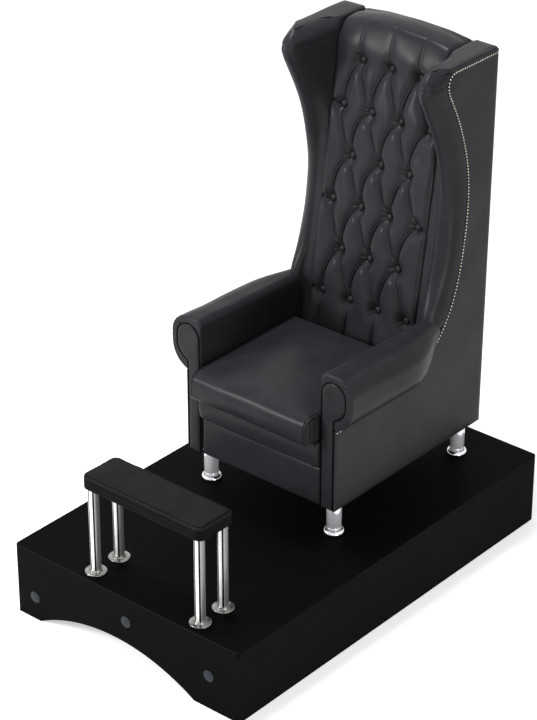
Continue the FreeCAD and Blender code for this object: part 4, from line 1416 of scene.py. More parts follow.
@dataclass
class TuftedBack(SubAssembly):
    """The diamond-tufted inside back, whose cover runs on over the crest."""

    rows: int = 6
    first_row: float = 432.0
    row_pitch: float = 161.0
    column_pitch: float = 118.0
    crown: float = 9.0
    crest_rise: float = 24.0
    end_run: float = 1482.0
    fine_run: float = 325.0
    pleat: float = 11.5
    pleat_reach: float = 37.0
    leans: tuple[tuple[float, ...], ...] = ((-1, 7.0, 6.8, -0.2), (1, 19.0, -6.8, 0.35))
    side_seam: float = 10.0
    side_reach: float = 20.0
    dimple: float = 21.0
    dimple_reach: float = 46.0
    pad_depth: float = 46.0
    cell_across: float = 1.7
    cell_up: float = 2.5
    button_depth: float = 15.5
    seed: int = 11

    def buttons(self) -> list[Pair]:
        """Every button's (x, height).

        Returns:
            The places in the frame of the face, row by row.
        """
        spots = []
        for row in range(self.rows):
            count = 4 if row % 2 == 0 else 3
            height = self.first_row + row * self.row_pitch
            spots += [((i - (count - 1) / 2) * self.column_pitch, height) for i in range(count)]
        return spots

    def creases(self) -> list[Crease]:
        """The diagonal pleats, those to the side seams, to the seat and over the crest, and short pulls.

        Returns:
            Every pleat and pull.
        """
        spots = self.buttons()
        known = {(round(x), round(z)) for x, z in spots}
        top = self.first_row + (self.rows - 1) * self.row_pitch
        edge = self.lines.back_half_width
        random = np.random.default_rng(self.seed)
        found: list[Crease] = []
        for spot in spots:
            x, z = spot
            for step, bow, fold, skew in self.leans:
                end = (x + step * self.column_pitch / 2, z + self.row_pitch)
                if (round(end[0]), round(end[1])) not in known:
                    continue
                uneven = 1 + 0.16 * random.standard_normal()
                found.append(Crease(spot, end, self.pleat, bow * uneven, self.pleat_reach, fold, skew))
            if abs(x) > edge - self.column_pitch / 2:
                end = (math.copysign(edge, x), z + 4 * random.standard_normal())
                found.append(Crease(spot, end, self.pleat, 1.5, 26.0, 6.5))
            if z == self.first_row:
                end = (x + 3 * random.standard_normal(), self.lines.pad_bottom)
                found.append(Crease(spot, end, 8.0, 2.0, 34.0, 7.0))
            if z == top:
                end = (x + x * 0.03 + 2 * random.standard_normal(), z + 150.0)
                found.append(Crease(spot, end, 4.0, 4.0, 34.0, 5.0, end_share=0.1, line=0.7))
            found += self.pulls(spot, z == top, random)
        return found

    def pulls(self, spot: Pair, at_top: bool, random: np.random.Generator) -> list[Crease]:
        """The short pulls that run from one button into the foam.

        Args:
            spot: The button's (x, height).
            at_top: Whether it stands in the top row, where the pulls are longer.
            random: What they are drawn from.

        Returns:
            The pulls.
        """
        turns = [*random.uniform(2.5, 4.0, 3), *random.uniform(-0.4, 0.5, 1)]
        line, stretch = (1.0, 1.7) if at_top else (0.6, 1.0)
        if at_top:
            turns += [1.7, 1.95, 2.2, 2.5]
        found = []
        for turn in turns:
            reach = random.uniform(24, 38) * stretch
            tip = (spot[0] + reach * math.cos(turn), spot[1] + reach * math.sin(turn))
            found.append(Crease(spot, tip, 0.0, random.uniform(-3, 3), 20.0, line=line, end_share=0.0))
        return found

    def profile(self, x: float, runs: Array) -> Array:
        """The cover's outermost line at one x.

        Args:
            x: Where across the back.
            runs: Runs up the face, equal to the height on its flat part.

        Returns:
            Points (x, y, z).
        """
        lines = self.lines
        top = lines.wing_top + self.crest_rise * (1 - (x / lines.back_half_width) ** 2)
        knots: list[Triple] = []
        for height in (lines.pad_bottom, 500.0, 850.0, 1150.0, 1240.0, lines.pad_top):
            knots.append((height, lines.back_y(height) - self.crown, height))
        rear_y = lines.outer_y(lines.side_height)
        knots += [
            (1325.0, 657.5, lines.pad_top + (top - 16 - lines.pad_top) * 0.55),
            (1342.0, 668.5, top - 15.5),
            (1362.0, 683.5, top - 3.0),
            (1385.0, 707.0, top + 1.0),
            (1417.0, 738.5, top + 1.2),
            (1448.0, rear_y - 30.0, top - 3.0),
            (1469.0, rear_y - 10.0, (top - 4 + lines.side_height) / 2 + 4.5),
            (self.end_run, rear_y + 0.5, lines.side_height),
        ]
        run, y, z = (np.array(column) for column in zip(*knots))
        return upright(x, np.column_stack([natural_spline(run, column, runs) for column in (y, z)]))

    def depth(self, x: Array, run: Array) -> Array:
        """How far the cover is drawn in from its outermost line.

        Args:
            x: The points' x.
            run: The points' run up the face.

        Returns:
            A depth for each point.
        """
        random = np.random.default_rng(self.seed + 1)
        left = np.ones_like(x)
        lines = np.zeros_like(x)
        fade = 1 - eased(run, self.end_run - 75, self.end_run - 8)
        for crease in self.creases():
            share, across, distance = crease.locate(x, run)
            left *= crease.openness(share, distance, self.pleat)
            lines += crease.lines(share, across, distance)
        side = np.clip((self.lines.back_half_width - np.abs(x)) / self.side_reach, 0.0, 1.0)
        total = (self.pleat * (1 - left) + lines) * fade + self.side_seam * (1 - side) ** 2.6
        for bx, bz in self.buttons():
            away = np.hypot(x - bx, (run - bz) * 0.92)
            angle = np.arctan2(run - bz, x - bx)
            total += self.dimple * (1 - np.clip((away - 6.0) / self.dimple_reach, 0.0, 1.0)) ** 2.3
            spokes = int(random.integers(7, 11))
            phase = random.uniform(0, 2 * np.pi)
            total += 0.9 * np.cos(spokes * angle + phase) * groove(away - 19, 7)
        total += ripples((x, run), random, 14, (0.012, 0.05), 0.35)
        return total + 2.5 * eased(run, self.end_run - 9, self.end_run)

    def build_pad(self) -> Obj:
        """Builds the pad and the crest as one closed shell.

        Returns:
            The pad.
        """
        lines = self.lines
        columns = int(round(2 * lines.back_half_width / self.cell_across)) + 1
        xs = np.linspace(-lines.back_half_width, lines.back_half_width, columns)
        low = np.arange(lines.pad_bottom, self.fine_run, 9.0)
        runs = np.concatenate((low, np.arange(self.fine_run, self.end_run, self.cell_up), [self.end_run]))
        surface = np.stack([self.profile(x, runs) for x in xs], axis=1)
        normal = np.cross(np.gradient(surface, axis=1), np.gradient(surface, axis=0))
        normal /= np.linalg.norm(normal, axis=2, keepdims=True)
        surface = surface - normal * self.depth(*np.meshgrid(xs, runs))[..., None]
        rear_y = lines.outer_y(lines.pad_top) - lines.skin
        rear = [(rear_y, lines.side_height - 6.0), (rear_y, lines.pad_top)]
        rear += [(lines.back_y(z) + self.pad_depth, z) for z in (lines.pad_top, lines.pad_bottom)]
        rear_rows = [np.stack([xs, np.full(columns, y), np.full(columns, z)], axis=1) for y, z in rear]
        rows = np.concatenate([surface, np.array(rear_rows)])
        faces = grid_faces(len(rows), columns, joined=True)
        faces += [tuple(r * columns + end for r in range(len(rows))) for end in (0, columns - 1)]
        return make_object("tufted_inside_back", rows.reshape(-1, 3), faces)

    def build(self) -> None:
        """Builds and finishes the back and its buttons."""
        pad = self.build_pad()
        self.shop.piece(pad, "upholstery", ("tufted_back", "crest_roll"), angle=75.0, fill=0.8)
        spots = np.array([(x, self.lines.back_y(z) + self.button_depth, z) for x, z in self.buttons()])
        buttons = points_object("covered_buttons", spots)
        names = ("tufting_buttons",)
        self.shop.repeated(self.trees.buttons, buttons, "upholstery", names, Radius=0.0115, Dome=0.0062)


# Wings


@dataclass
class Wing(SubAssembly):
    """One padded wing: a roll that swells along its front edge and turns back over the top."""

    side: Side
    inner_x: float = 250.0
    crown_x: float = 278.0
    roll_depth: float = 24.0
    foot: float = 225.0
    shoulder: float = 1306.0
    ledge: float = 1338.5
    top: float = 1353.5
    round_in: float = 36.0
    rows: int = 150
    low_stations: tuple[Pair, ...] = ((225.0, 508.0), (400.0, 503.0), (440.0, 499.0))
    tucked_edge: float = 522.0
    band_corner: float = 12.0
    band_shape: tuple[Pair, ...] = (
        (9.0, 0.0), (2.2, 0.02), (0.4, 0.16), (-0.4, 0.4), (0.2, 0.62), (1.8, 0.8), (4.6, 0.92), (9.0, 0.98),
        (15.0, 1.0),
    )
    fold_height: float = 1301.0
    fold_width: float = 3.4
    fold_paths: tuple[tuple[Pair, ...], ...] = (
        ((226.0, 562.0), (248.0, 530.0), (284.0, 512.0), (317.0, 543.0)),
        ((218.0, 668.0), (246.0, 640.0), (288.0, 628.0), (317.0, 648.0)),
    )

    def fronts(self, z: float) -> Pair:
        """The roll's foremost y and the nail line's y, down into the arm.

        Args:
            z: The height.

        Returns:
            Both y.
        """
        stations = [*self.low_stations, *((s[0], s[1]) for s in self.lines.wing_stations)]
        front = natural_spline(*zip(*stations), np.array([z]))
        return float(front[0]), float(self.lines.nail_y(z))

    def section(self, front: float, nail: float, crease: float, tucked: float = 0.0) -> Array:
        """The padded part of one level section, from the inside back to the nail line.

        Args:
            front: The foremost y.
            nail: The nail line's y.
            crease: Where the wing meets the inside back.
            tucked: How far the outer part is drawn in behind the arm, from 0 to 1.

        Returns:
            Points (x, y).
        """
        inner_y = min(front + self.roll_depth, crease - 0.3 * (crease - front))
        edge = self.lines.half_width
        seam = (self.lines.back_half_width, crease)
        middle = ((seam[0] + self.inner_x) / 2 - 3.0, (crease + inner_y) / 2)
        roll = ((self.inner_x + self.crown_x) / 2 - 4.5, (inner_y + front) / 2 - 4.5)
        outer = ((self.crown_x + edge) / 2 + 9.5, (front + nail) / 2 - 9.5)
        points = [seam, middle, (self.inner_x, inner_y), roll, (self.crown_x, front), outer, (edge, nail)]
        ahead = min(crease + 2.0, self.tucked_edge)
        hidden = [seam, (235.0, (crease + ahead) / 2 - 1), (250.0, ahead), (259.0, ahead - 1)]
        hidden += [(268.0, ahead + 4), (278.0, ahead + 16), (285.0, ahead + 34)]
        return spline_path(np.array(points) * (1 - tucked) + np.array(hidden) * tucked, 52)

    def plan(self, z: float, over: bool) -> Array:
        """The wing's outline in plan at one height.

        Args:
            z: The height.
            over: Whether the outline takes in the band that runs back over the side.

        Returns:
            A ring of 68 points (x, y), from the seam with the inside back round the roll.
        """
        front, nail = self.fronts(z)
        crease = self.lines.back_y(z) + 6.0
        body = self.section(front, nail, crease, float(1 - eased(z, 385.0, 470.0)))
        end_x, end_y = body[-1]
        if over:
            rear, corner = self.lines.outer_y(z), self.band_corner
            beside = np.linspace((end_x, end_y + 6), (end_x, rear - corner - 4), 6)
            outer = np.vstack([beside, arc((end_x - corner, rear - corner), corner, 0.0, 0.5, 4)])
        else:
            rear = max(max(min(nail, crease), crease - 20) + 60.0, end_y + 20)
            outer = np.linspace((end_x - 4, end_y + 5), (end_x - 10, rear), 10)
        behind = np.linspace((outer[-1, 0], rear), (self.lines.back_half_width, rear), 7)[1:]
        return np.vstack([body, outer, behind])

    def ring(self, z: float, over: bool, outer_inset: float = 0.0) -> Array:
        """The closed ring of the wing at one height, drawn in where the top rounds off.

        Args:
            z: The height.
            over: Whether the ring takes in the band over the side.
            outer_inset: How far the ring's outer and rear sides are drawn in.

        Returns:
            Points (x, y, z).
        """
        ring = self.plan(min(z, self.lines.side_height), over)
        flat = level(ring, 0.0)
        ahead = np.roll(flat, -1, axis=0) - np.roll(flat, 1, axis=0)
        inward = np.column_stack([-ahead[:, 1], ahead[:, 0], np.zeros(len(flat))])
        inward /= np.maximum(np.linalg.norm(inward, axis=1, keepdims=True), 1e-6)
        if np.dot(inward[26], flat.mean(axis=0) - flat[26]) < 0:
            inward = -inward
        t = np.clip((z - self.shoulder) / (self.top - self.shoulder), 0.0, 1.0)
        index = np.arange(len(ring))
        inside = (1 - eased(index, 40.0, 50.0)) * (0.3 + 0.7 * eased(index, 0.0, 8.0))
        inset = self.round_in * (1 - math.sqrt(1 - t * t)) * inside
        inset += outer_inset * (1 - inside) * (index > 40)
        ring = flat + inward * inset[:, None]
        ring[:, 2] = z
        return ring

    def shrink(self, ring: Array, inset: float, lift: float) -> Array:
        """A ring drawn in towards its middle by about an inset.

        Args:
            ring: The ring.
            inset: How far each point goes in.
            lift: How far the new ring lies above it.

        Returns:
            The new ring.
        """
        middle = ring.mean(axis=0)
        size = np.linalg.norm(ring - middle, axis=1, keepdims=True)
        drawn = ring + (middle - ring) * np.minimum(inset / np.maximum(size, 1.0), 0.9)
        drawn[:, 2] = ring[:, 2] + lift
        return drawn

    def build_body(self) -> Obj:
        """Builds the roll and the band over the top as one closed shell.

        Returns:
            The wing.
        """
        rings = [self.ring(z, False) for z in np.linspace(self.foot, self.shoulder, self.rows)]
        rings += [self.ring(z, False) for z in np.linspace(self.shoulder, self.ledge - 0.5, 8)[1:]]
        height = self.top - self.ledge
        rings += [self.ring(self.ledge + height * share, True, inset) for inset, share in self.band_shape]
        rings.append(self.shrink(rings[-1], 7.0, 0.7))
        obj = loft_object(f"{self.side.word}_wing_roll", [mirror_points(ring, self.side) for ring in rings])
        subdivide(obj)
        self.press_folds(obj)
        return obj

    def press_folds(self, obj: Obj) -> None:
        """Presses in the folds that cross the roll where it turns over the top, and the foam's slow waves.

        Args:
            obj: The wing.
        """
        points = mirror_points(place_of(obj), self.side)
        x, y, z = points.T
        plan = level(points[:, :2], 0.0)
        near_top = eased(z, 1322.0, 1336.0)
        ahead = 1 - eased(y, 585.0, 610.0)
        first = np.abs(z - self.fold_height - 0.05 * (x - self.crown_x - 1.0))
        second, third = (path_distance(plan, level(np.array(path), 0.0)) for path in self.fold_paths)
        width = self.fold_width
        depth = -1.5 * groove(first, width) * ahead
        depth -= near_top * (1.4 * groove(second, width) + 1.2 * groove(third, width))
        depth += 0.8 * ahead * (groove(first - 13.0, 10.0) + near_top * groove(second - 12.0, 10.0))
        random = np.random.default_rng(31 + self.side.value)
        push(obj, depth + ripples((x, y, z), random, 10, (0.01, 0.035), 0.22))

    def build(self) -> None:
        """Builds and finishes the wing."""
        self.shop.piece(self.build_body(), "upholstery", (f"{self.side.word}_wing",), angle=70.0, fill=0.8)


# Arms


@dataclass
class Arm(SubAssembly):
    """One rolled arm with its keyhole facing."""

    side: Side
    inner_x: float = 252.0
    inner_round: float = 26.0
    roll_x: float = 378.0
    top_front: float = 495.0
    top_back: float = 478.0
    bottom: float = 140.0
    front_round: float = 8.0
    end: float = 540.0
    under_front: float = 300.0
    facing_inner: float = 258.0
    facing_outer: float = 354.0
    facing_top: float = 471.0
    leg_x: float = 307.0
    neck: float = 333.0
    facing_back: float = 12.0
    facing_edge: float = 3.2
    facing_rise: float = 6.0
    welt_y: float = 0.2
    wave_turn: float = 6.28

    @property
    def facing_radius(self) -> float:
        """The radius of the scroll at the facing's top."""
        return (self.facing_outer - self.facing_inner) / 2

    def outer(self, y: float) -> float:
        """How far out the roll reaches at a depth."""
        reach = (self.roll_x, self.roll_x, self.roll_x - 2, 356.0, 330.0, 313.0)
        return float(natural_spline((0, 200, 360, 440, 500, 545), reach, np.array([y]))[0])

    def underside(self, y: float) -> float:
        """The height of the seam under the roll at a depth.

        Args:
            y: Where along the arm.

        Returns:
            The height.
        """
        if y <= self.lines.sweep[0][0]:
            return self.under_front
        line = self.lines.nail_line(300)
        return float(np.interp(y, line[:60, 0], line[:60, 1]))

    def section(self, y: float, drawn: float) -> Array:
        """One upright section of the arm.

        Args:
            y: Where along the arm.
            drawn: How far the section is drawn in all round.

        Returns:
            A closed ring of points.
        """
        slope = (self.top_front - self.top_back) / self.lines.wing_stations[0][1]
        top = self.top_front - slope * y - drawn
        inner, outer = self.inner_x + drawn, self.outer(y) - drawn
        under = self.underside(y) + drawn * 0.6
        radius = (outer - inner) / 2
        corner = arc((inner + self.inner_round, top - self.inner_round), self.inner_round, 1.0, 0.5, 8)
        start = inner + radius * 0.85
        fall_y = radius + 6.0
        spring = top + 1 - fall_y
        dome = arc((start, spring), (outer - start, fall_y), 0.5, 0.0, 24)
        fall = under + (spring - under) * 0.55
        seam_x = self.lines.half_width - 0.5
        bulge = 0.21 * (outer - seam_x)
        knots = [(outer, spring), (outer + 0.5, (spring + fall) / 2), (outer - 1.0, fall)]
        knots += [((outer + seam_x) / 2 + 0.7 * bulge, (fall + under) / 2 - 0.7 * bulge), (seam_x, under)]
        low = spline_path(knots, 20)
        inside = np.linspace((inner, self.bottom), (inner, top - self.inner_round), 12, endpoint=False)
        back = [(seam_x - 10, under + 2), (inner + 24, under + 20), (inner + 24, self.bottom)]
        ring = np.vstack([inside, corner, dome, low[1:], back])
        return np.column_stack([ring[:, 0], np.full(len(ring), y), ring[:, 1]])

    def build_pad(self) -> Obj:
        """Builds the roll, whose cover turns over its front edge.

        Returns:
            The roll.
        """
        rings = []
        for step in np.linspace(0.0, 1.0, 7):
            turn = step * math.pi / 2
            y, drawn = (self.front_round * (1 - part) for part in (math.cos(turn), math.sin(turn)))
            rings.append(self.section(y + 0.5, drawn))
        for y in np.concatenate((np.linspace(20.0, 340.0, 24), np.linspace(352.0, self.end, 30))):
            rings.append(self.section(float(y), 0.0))
        obj = loft_object(f"{self.side.word}_arm_roll", [mirror_points(ring, self.side) for ring in rings])
        subdivide(obj)
        self.gather(obj)
        return obj

    def gather(self, obj: Obj) -> None:
        """Adds the small gathers at the front edge and the slow waves of the foam.

        Args:
            obj: The roll.
        """
        x, y, z = mirror_points(place_of(obj), self.side).T
        angle = np.arctan2(z - self.top_front + 56, x - (self.inner_x + self.roll_x) / 2)
        near = groove(y - 4, 13) * eased(angle, -0.9, -0.3) * (1 - eased(angle, 2.4, 3.0))
        corner = groove(angle - 0.75, 0.35)
        random = np.random.default_rng(57 + self.side.value)
        depth = near * (0.35 + 0.9 * corner) * np.cos(angle * 27 + 1.5 * np.sin(angle * 5 + self.side.value))
        push(obj, depth + ripples((x, y, z), random, 10, (0.01, 0.04), 0.25, self.wave_turn))

    def edges_at(self, z: Array) -> tuple[Array, Array]:
        """The facing's inner and outer x.

        Args:
            z: The heights.

        Returns:
            Both x at each height.
        """
        radius = self.facing_radius
        spring = self.facing_top - radius
        low_outer = spring - 0.8 * radius
        lift = np.clip((z - spring) / radius, 0.0, 1.0)
        half = radius * np.sqrt(np.clip(1 - lift * lift, 0.0, 1.0))
        middle = self.facing_inner + radius
        neck_z = (self.neck, (self.neck + low_outer) / 2 - 5, low_outer)
        neck_x = (self.leg_x, (self.facing_outer + self.leg_x) / 2 + 5, self.facing_outer)
        curved = natural_spline(neck_z, neck_x, np.clip(z, self.neck, low_outer))
        inner = np.where(z > spring, middle - half, self.facing_inner)
        return inner, np.where(z > spring, middle + half, curved)

    def facing_outline(self, count: int = 260) -> Array:
        """The facing's edge.

        Args:
            count: How many points to give.

        Returns:
            A ring of (x, z).
        """
        radius = self.facing_radius
        spring = self.facing_top - radius
        low = np.linspace(0.0, spring, 120)
        inner, outer = (np.column_stack([edge, low]) for edge in self.edges_at(low))
        dome = arc((self.facing_inner + radius, spring), radius, 1.0, 0.0, 60)
        return resample(np.vstack([inner, dome[1:], outer[::-1][1:]]), count, closed=True)

    def build_facing(self) -> Obj:
        """Builds the padded facing, proud of its sunk edge.

        Returns:
            The facing.
        """
        radius = self.facing_radius
        spring = self.facing_top - radius
        dome = spring + radius * np.sin(np.linspace(0.0, np.pi / 2, 24)) - 0.02
        heights = np.concatenate((np.linspace(0, 10, 6), np.linspace(14, spring - 4, 90), dome))
        inner, outer = self.edges_at(heights)
        edge = np.linspace(0.0, 1.0, 7) ** 1.3 * 0.12
        shares = np.concatenate((edge, np.linspace(0.16, 0.84, 14), 1 - edge[::-1]))
        x = inner[:, None] + (outer - inner)[:, None] * shares[None, :]
        z = np.repeat(heights[:, None], len(shares), axis=1)
        flat = np.column_stack([x.ravel(), z.ravel()])
        outline = self.facing_outline()
        rise = 1 - np.exp(-path_distance(flat, np.vstack([outline, outline[:1]])) / 4.0)
        random = np.random.default_rng(77 + self.side.value)
        front = self.facing_edge - self.facing_rise * rise
        front += rise * ripples(flat.T, random, 8, (0.015, 0.05), 0.2, self.wave_turn)
        depths = (front, np.full(len(flat), self.facing_back))
        sheets = [np.column_stack([flat[:, 0], y, flat[:, 1]]) for y in depths]
        rows, columns = x.shape
        count = rows * columns
        faces = grid_faces(rows, columns)
        faces += [tuple(i + count for i in face[::-1]) for face in faces]
        index = np.arange(count).reshape(rows, columns)
        rim = [*index[0], *index[1:, -1], *index[-1, -2::-1], *index[-2:0:-1, 0]]
        faces += [(int(a), int(b), int(b) + count, int(a) + count) for a, b in zip(rim, rim[1:] + rim[:1])]
        points = mirror_points(np.vstack(sheets), self.side)
        return make_object(f"{self.side.word}_arm_front", points, faces)

    def build_welt(self) -> None:
        """Builds the welt round the facing, from one foot up, round the scroll and down; its near-black
        colour is partly painted shade of the groove it lies in.
        """
        ring = self.facing_outline()
        start = int(np.argmin(np.hypot(ring[:, 0] - self.facing_inner, ring[:, 1])))
        ring = np.roll(ring, -start, axis=0)
        keep = ring[ring[:, 1] > 1.0]
        path = np.column_stack([keep[:, 0], np.full(len(keep), self.welt_y), keep[:, 1]])
        welt = points_object(f"{self.side.word}_facing_welt", mirror_points(path, self.side), linked=True)
        self.shop.repeated(self.trees.welt, welt, "welt", Radius=0.0024)

    def build(self) -> None:
        """Builds and finishes the arm."""
        word = self.side.word
        self.shop.piece(self.build_pad(), "upholstery", (f"{word}_arm_pad",), angle=60.0, fill=0.8)
        self.shop.piece(self.build_facing(), "upholstery", (f"{word}_arm_facing",), angle=50.0, fill=0.7)
        self.build_welt()


# Flat padded panels


def plate(
    name: str, points: Array, faces: Iterable[Sequence[int]], outward: Sequence[float], depth: float
) -> Obj:
    """Makes a closed plate from an open surface.

    Args:
        name: The object's name.
        points: The surface's points in the chair's frame, in millimetres.
        faces: Its faces.
        outward: Which way it faces.
        depth: The plate's thickness behind the surface, in millimetres.

    Returns:
        The object.
    """
    obj = make_object(name, points, faces)
    total = sum((face.normal * face.area for face in obj.data.polygons), Vector())
    if total.dot(Vector(outward)) < 0:
        obj.data.flip_normals()
    add_modifier(obj, "SOLIDIFY", thickness=depth * MM, offset=-1.0)
    apply_modifiers(obj)
    return obj


def clustered(count: int, power: float = 1.8) -> Array:
    """Shares from 0 to 1 that lie closer together near both ends."""
    t = np.linspace(-1.0, 1.0, count)
    return 0.5 + 0.5 * np.sign(t) * (1 - (1 - np.abs(t)) ** power)


def waves(points: Array, seed: int, size: float, shortest: float = 160.0) -> Array:
    """Slow uneven heights of foam under its cover.

    Args:
        points: Points of any dimension, in millimetres.
        seed: Fixes the pattern.
        size: The usual height.
        shortest: The shortest wave.

    Returns:
        A height for each point.
    """
    random = np.random.default_rng(seed)
    total = np.zeros(len(points))
    for _ in range(10):
        pull = random.uniform(0.3, 1.0, points.shape[1]) * 2 * np.pi / shortest
        pull *= random.choice((-1, 1), points.shape[1])
        total += size * 0.4 * np.sin(points @ pull + random.uniform(0, 2 * np.pi))
    return total


@dataclass
class BodyPanels(SubAssembly):
    """The flat padded sides, the outside back and the two bands across the front."""

    edge_sink: float = 3.4
    edge_reach: float = 5.0
    rise: float = 0.8
    thickness: float = 9.0
    lower_thickness: float = 18.0
    seat_half: float = 251.0
    panel_front: float = 4.0
    roll_rear: float = 24.0

    def pillow(self, distance: Array, points: Array, seed: int) -> Array:
        """How far a panel's face stands out, from its sunk edge inwards."""
        inside = 1 - np.exp(-distance / self.edge_reach)
        return self.rise - self.edge_sink * (1 - inside) + inside * waves(points, seed, 0.5, 260.0)

    def build_side(self, side: Side) -> None:
        """Builds one outer side, from the front edge under the arm to the wing's top.

        Args:
            side: Which side.
        """
        lines = self.lines
        nail = lines.nail_line(170)
        start_y, start_z = lines.sweep[0]
        low_z = start_z * clustered(34)
        heights = np.concatenate((low_z, nail[1:, 1]))
        fronts = np.concatenate((np.full(len(low_z), start_y), nail[1:, 0]))
        y = fronts[:, None] + (lines.outer_y(heights) - fronts)[:, None] * clustered(34)[None, :]
        z = np.repeat(heights[:, None], y.shape[1], axis=1)
        y_low, z_low = np.meshgrid(start_y * clustered(30), low_z)
        faces = grid_faces(*y.shape)
        faces += [tuple(i + y.size for i in face) for face in grid_faces(*y_low.shape)]
        flat = np.vstack([np.column_stack([a.ravel(), b.ravel()]) for a, b in ((y, z), (y_low, z_low))])
        corners = [(lines.outer_y(lines.side_height), lines.side_height), (lines.depth, 0), (0, 0)]
        rim = np.vstack([[(0, 0), (0, start_z)], nail, corners])
        out = self.pillow(path_distance(flat, rim), flat, 90 + side.value)
        points = mirror_points(np.column_stack([lines.half_width + out, flat]), side)
        obj = plate(f"{side.word}_outer_side", points, faces, (side.value, 0, 0), self.thickness)
        self.shop.piece(obj, "upholstery", (f"{side.word}_side_panel",), angle=60.0, fill=0.3)

    def face(
        self, half: float, height: float, counts: tuple[int, int], seed: int
    ) -> tuple[Array, Array, list[tuple[int, ...]]]:
        """A rectangular face with its height of foam.

        Args:
            half: Half its width.
            height: Its height.
            counts: How many points it has across and up.
            seed: Fixes the foam's waves.

        Returns:
            Its points (x, z), how far each stands out and its faces.
        """
        x, z = np.meshgrid(half * (2 * clustered(counts[0]) - 1), height * clustered(counts[1]))
        flat = np.column_stack([x.ravel(), z.ravel()])
        rim = np.array([(-half, 0.0), (half, 0.0), (half, height), (-half, height), (-half, 0.0)])
        return flat, self.pillow(path_distance(flat, rim), flat, seed), grid_faces(*x.shape)

    def build_outside_back(self) -> None:
        """Builds the flat panel behind the chair."""
        lines = self.lines
        flat, out, faces = self.face(lines.half_width - lines.skin, lines.side_height, (50, 90), 95)
        points = np.column_stack([flat[:, 0], lines.outer_y(flat[:, 1]) + out, flat[:, 1]])
        obj = plate("outside_back", points, faces, (0, 1, 0), self.thickness)
        self.shop.piece(obj, "upholstery", ("outside_back_panel",), angle=60.0, fill=0.3)

    def build_lower_panel(self) -> None:
        """Builds the plain panel across the front rail."""
        flat, out, faces = self.face(self.seat_half, self.lines.rail_top, (60, 24), 96)
        points = np.column_stack([flat[:, 0], self.panel_front - out * 1.3, flat[:, 1]])
        obj = plate("lower_front", points, faces, (0, -1, 0), self.lower_thickness)
        self.shop.piece(obj, "upholstery", ("lower_front_panel",), angle=60.0, fill=0.3)

    def build_front_roll(self) -> None:
        """Builds the padded band under the cushion."""
        low, high = self.lines.rail_top, self.lines.deck_top
        middle, rear = (low + high) / 2, self.roll_rear
        knots = [(6.0, high - 0.4), (-8.0, high - 7), (-15.5, high - 24), (-18.2, middle), (-15.5, low + 26)]
        knots += [(-8.5, low + 8), (4.0, low + 0.4)]
        ring = np.vstack([spline_path(knots, 34), [(rear, low + 1)], [(rear, high - 1)]])
        rings = []
        for x in self.seat_half * (2 * clustered(90, 1.4) - 1):
            drawn = 5.0 * math.exp((abs(x) - self.seat_half) / 4.0)
            pulled = ring.copy()
            pulled[:, 0] = np.minimum(pulled[:, 0] + drawn * 1.4, rear)
            pulled[:, 1] = (ring[:, 1] - middle) * (1 - drawn / 60) + middle
            rings.append(upright(x, pulled))
        obj = loft_object("front_roll", rings)
        points = place_of(obj)
        push(obj, waves(points, 97, 0.3, 140.0) * eased(-points[:, 1], 0.0, 12.0))
        self.shop.piece(obj, "upholstery", ("front_rail_roll",), angle=60.0, fill=0.8)

    def build(self) -> None:
        """Builds every panel."""
        for side in Side:
            self.build_side(side)
        self.build_outside_back()
        self.build_lower_panel()
        self.build_front_roll()


@dataclass
class NailTrim(SubAssembly):
    """The row of nailheads up each wing and along its top, and a few where the side seam starts."""

    inset: float = 10.5
    pitch: float = 11.3
    corner: Pair = (36.0, 34.5)
    stand_off: float = 0.9
    seam_nails: tuple[Pair, ...] = ((9.0, 291.0), (24.0, 291.0))

    def path(self) -> Array:
        """The nails' middle line, from the arm up the wing and back along its top.

        Returns:
            Points (y, z).
        """
        line = self.lines.nail_line(500)
        start = self.lines.sweep[-1][1]
        top = self.lines.side_height - self.inset
        points = line[(line[:, 1] > start) & (line[:, 1] < top - self.corner[1])] + (self.inset, 0.0)
        wide, high = self.corner
        bend = arc((points[-1, 0] + wide, top - high), (-wide, high), 0.0, 0.5, 16)[1:]
        return np.vstack([points, bend, [(self.lines.outer_y(top) - self.inset, top)]])

    def build(self) -> None:
        """Builds the rows on both sides."""
        x = self.lines.half_width + self.stand_off
        for side in Side:
            rows = (
                (f"{side.word}_nailheads", self.path(), (f"{side.word}_nail_trim",)),
                (f"{side.word}_seam_nails", np.array(self.seam_nails), ()),
            )
            for name, line, replaces in rows:
                row = points_object(name, mirror_points(upright(x, line), side), linked=True)
                self.shop.repeated(self.trees.nailheads, row, "brass", replaces, Pitch=self.pitch * MM)


# Cushions


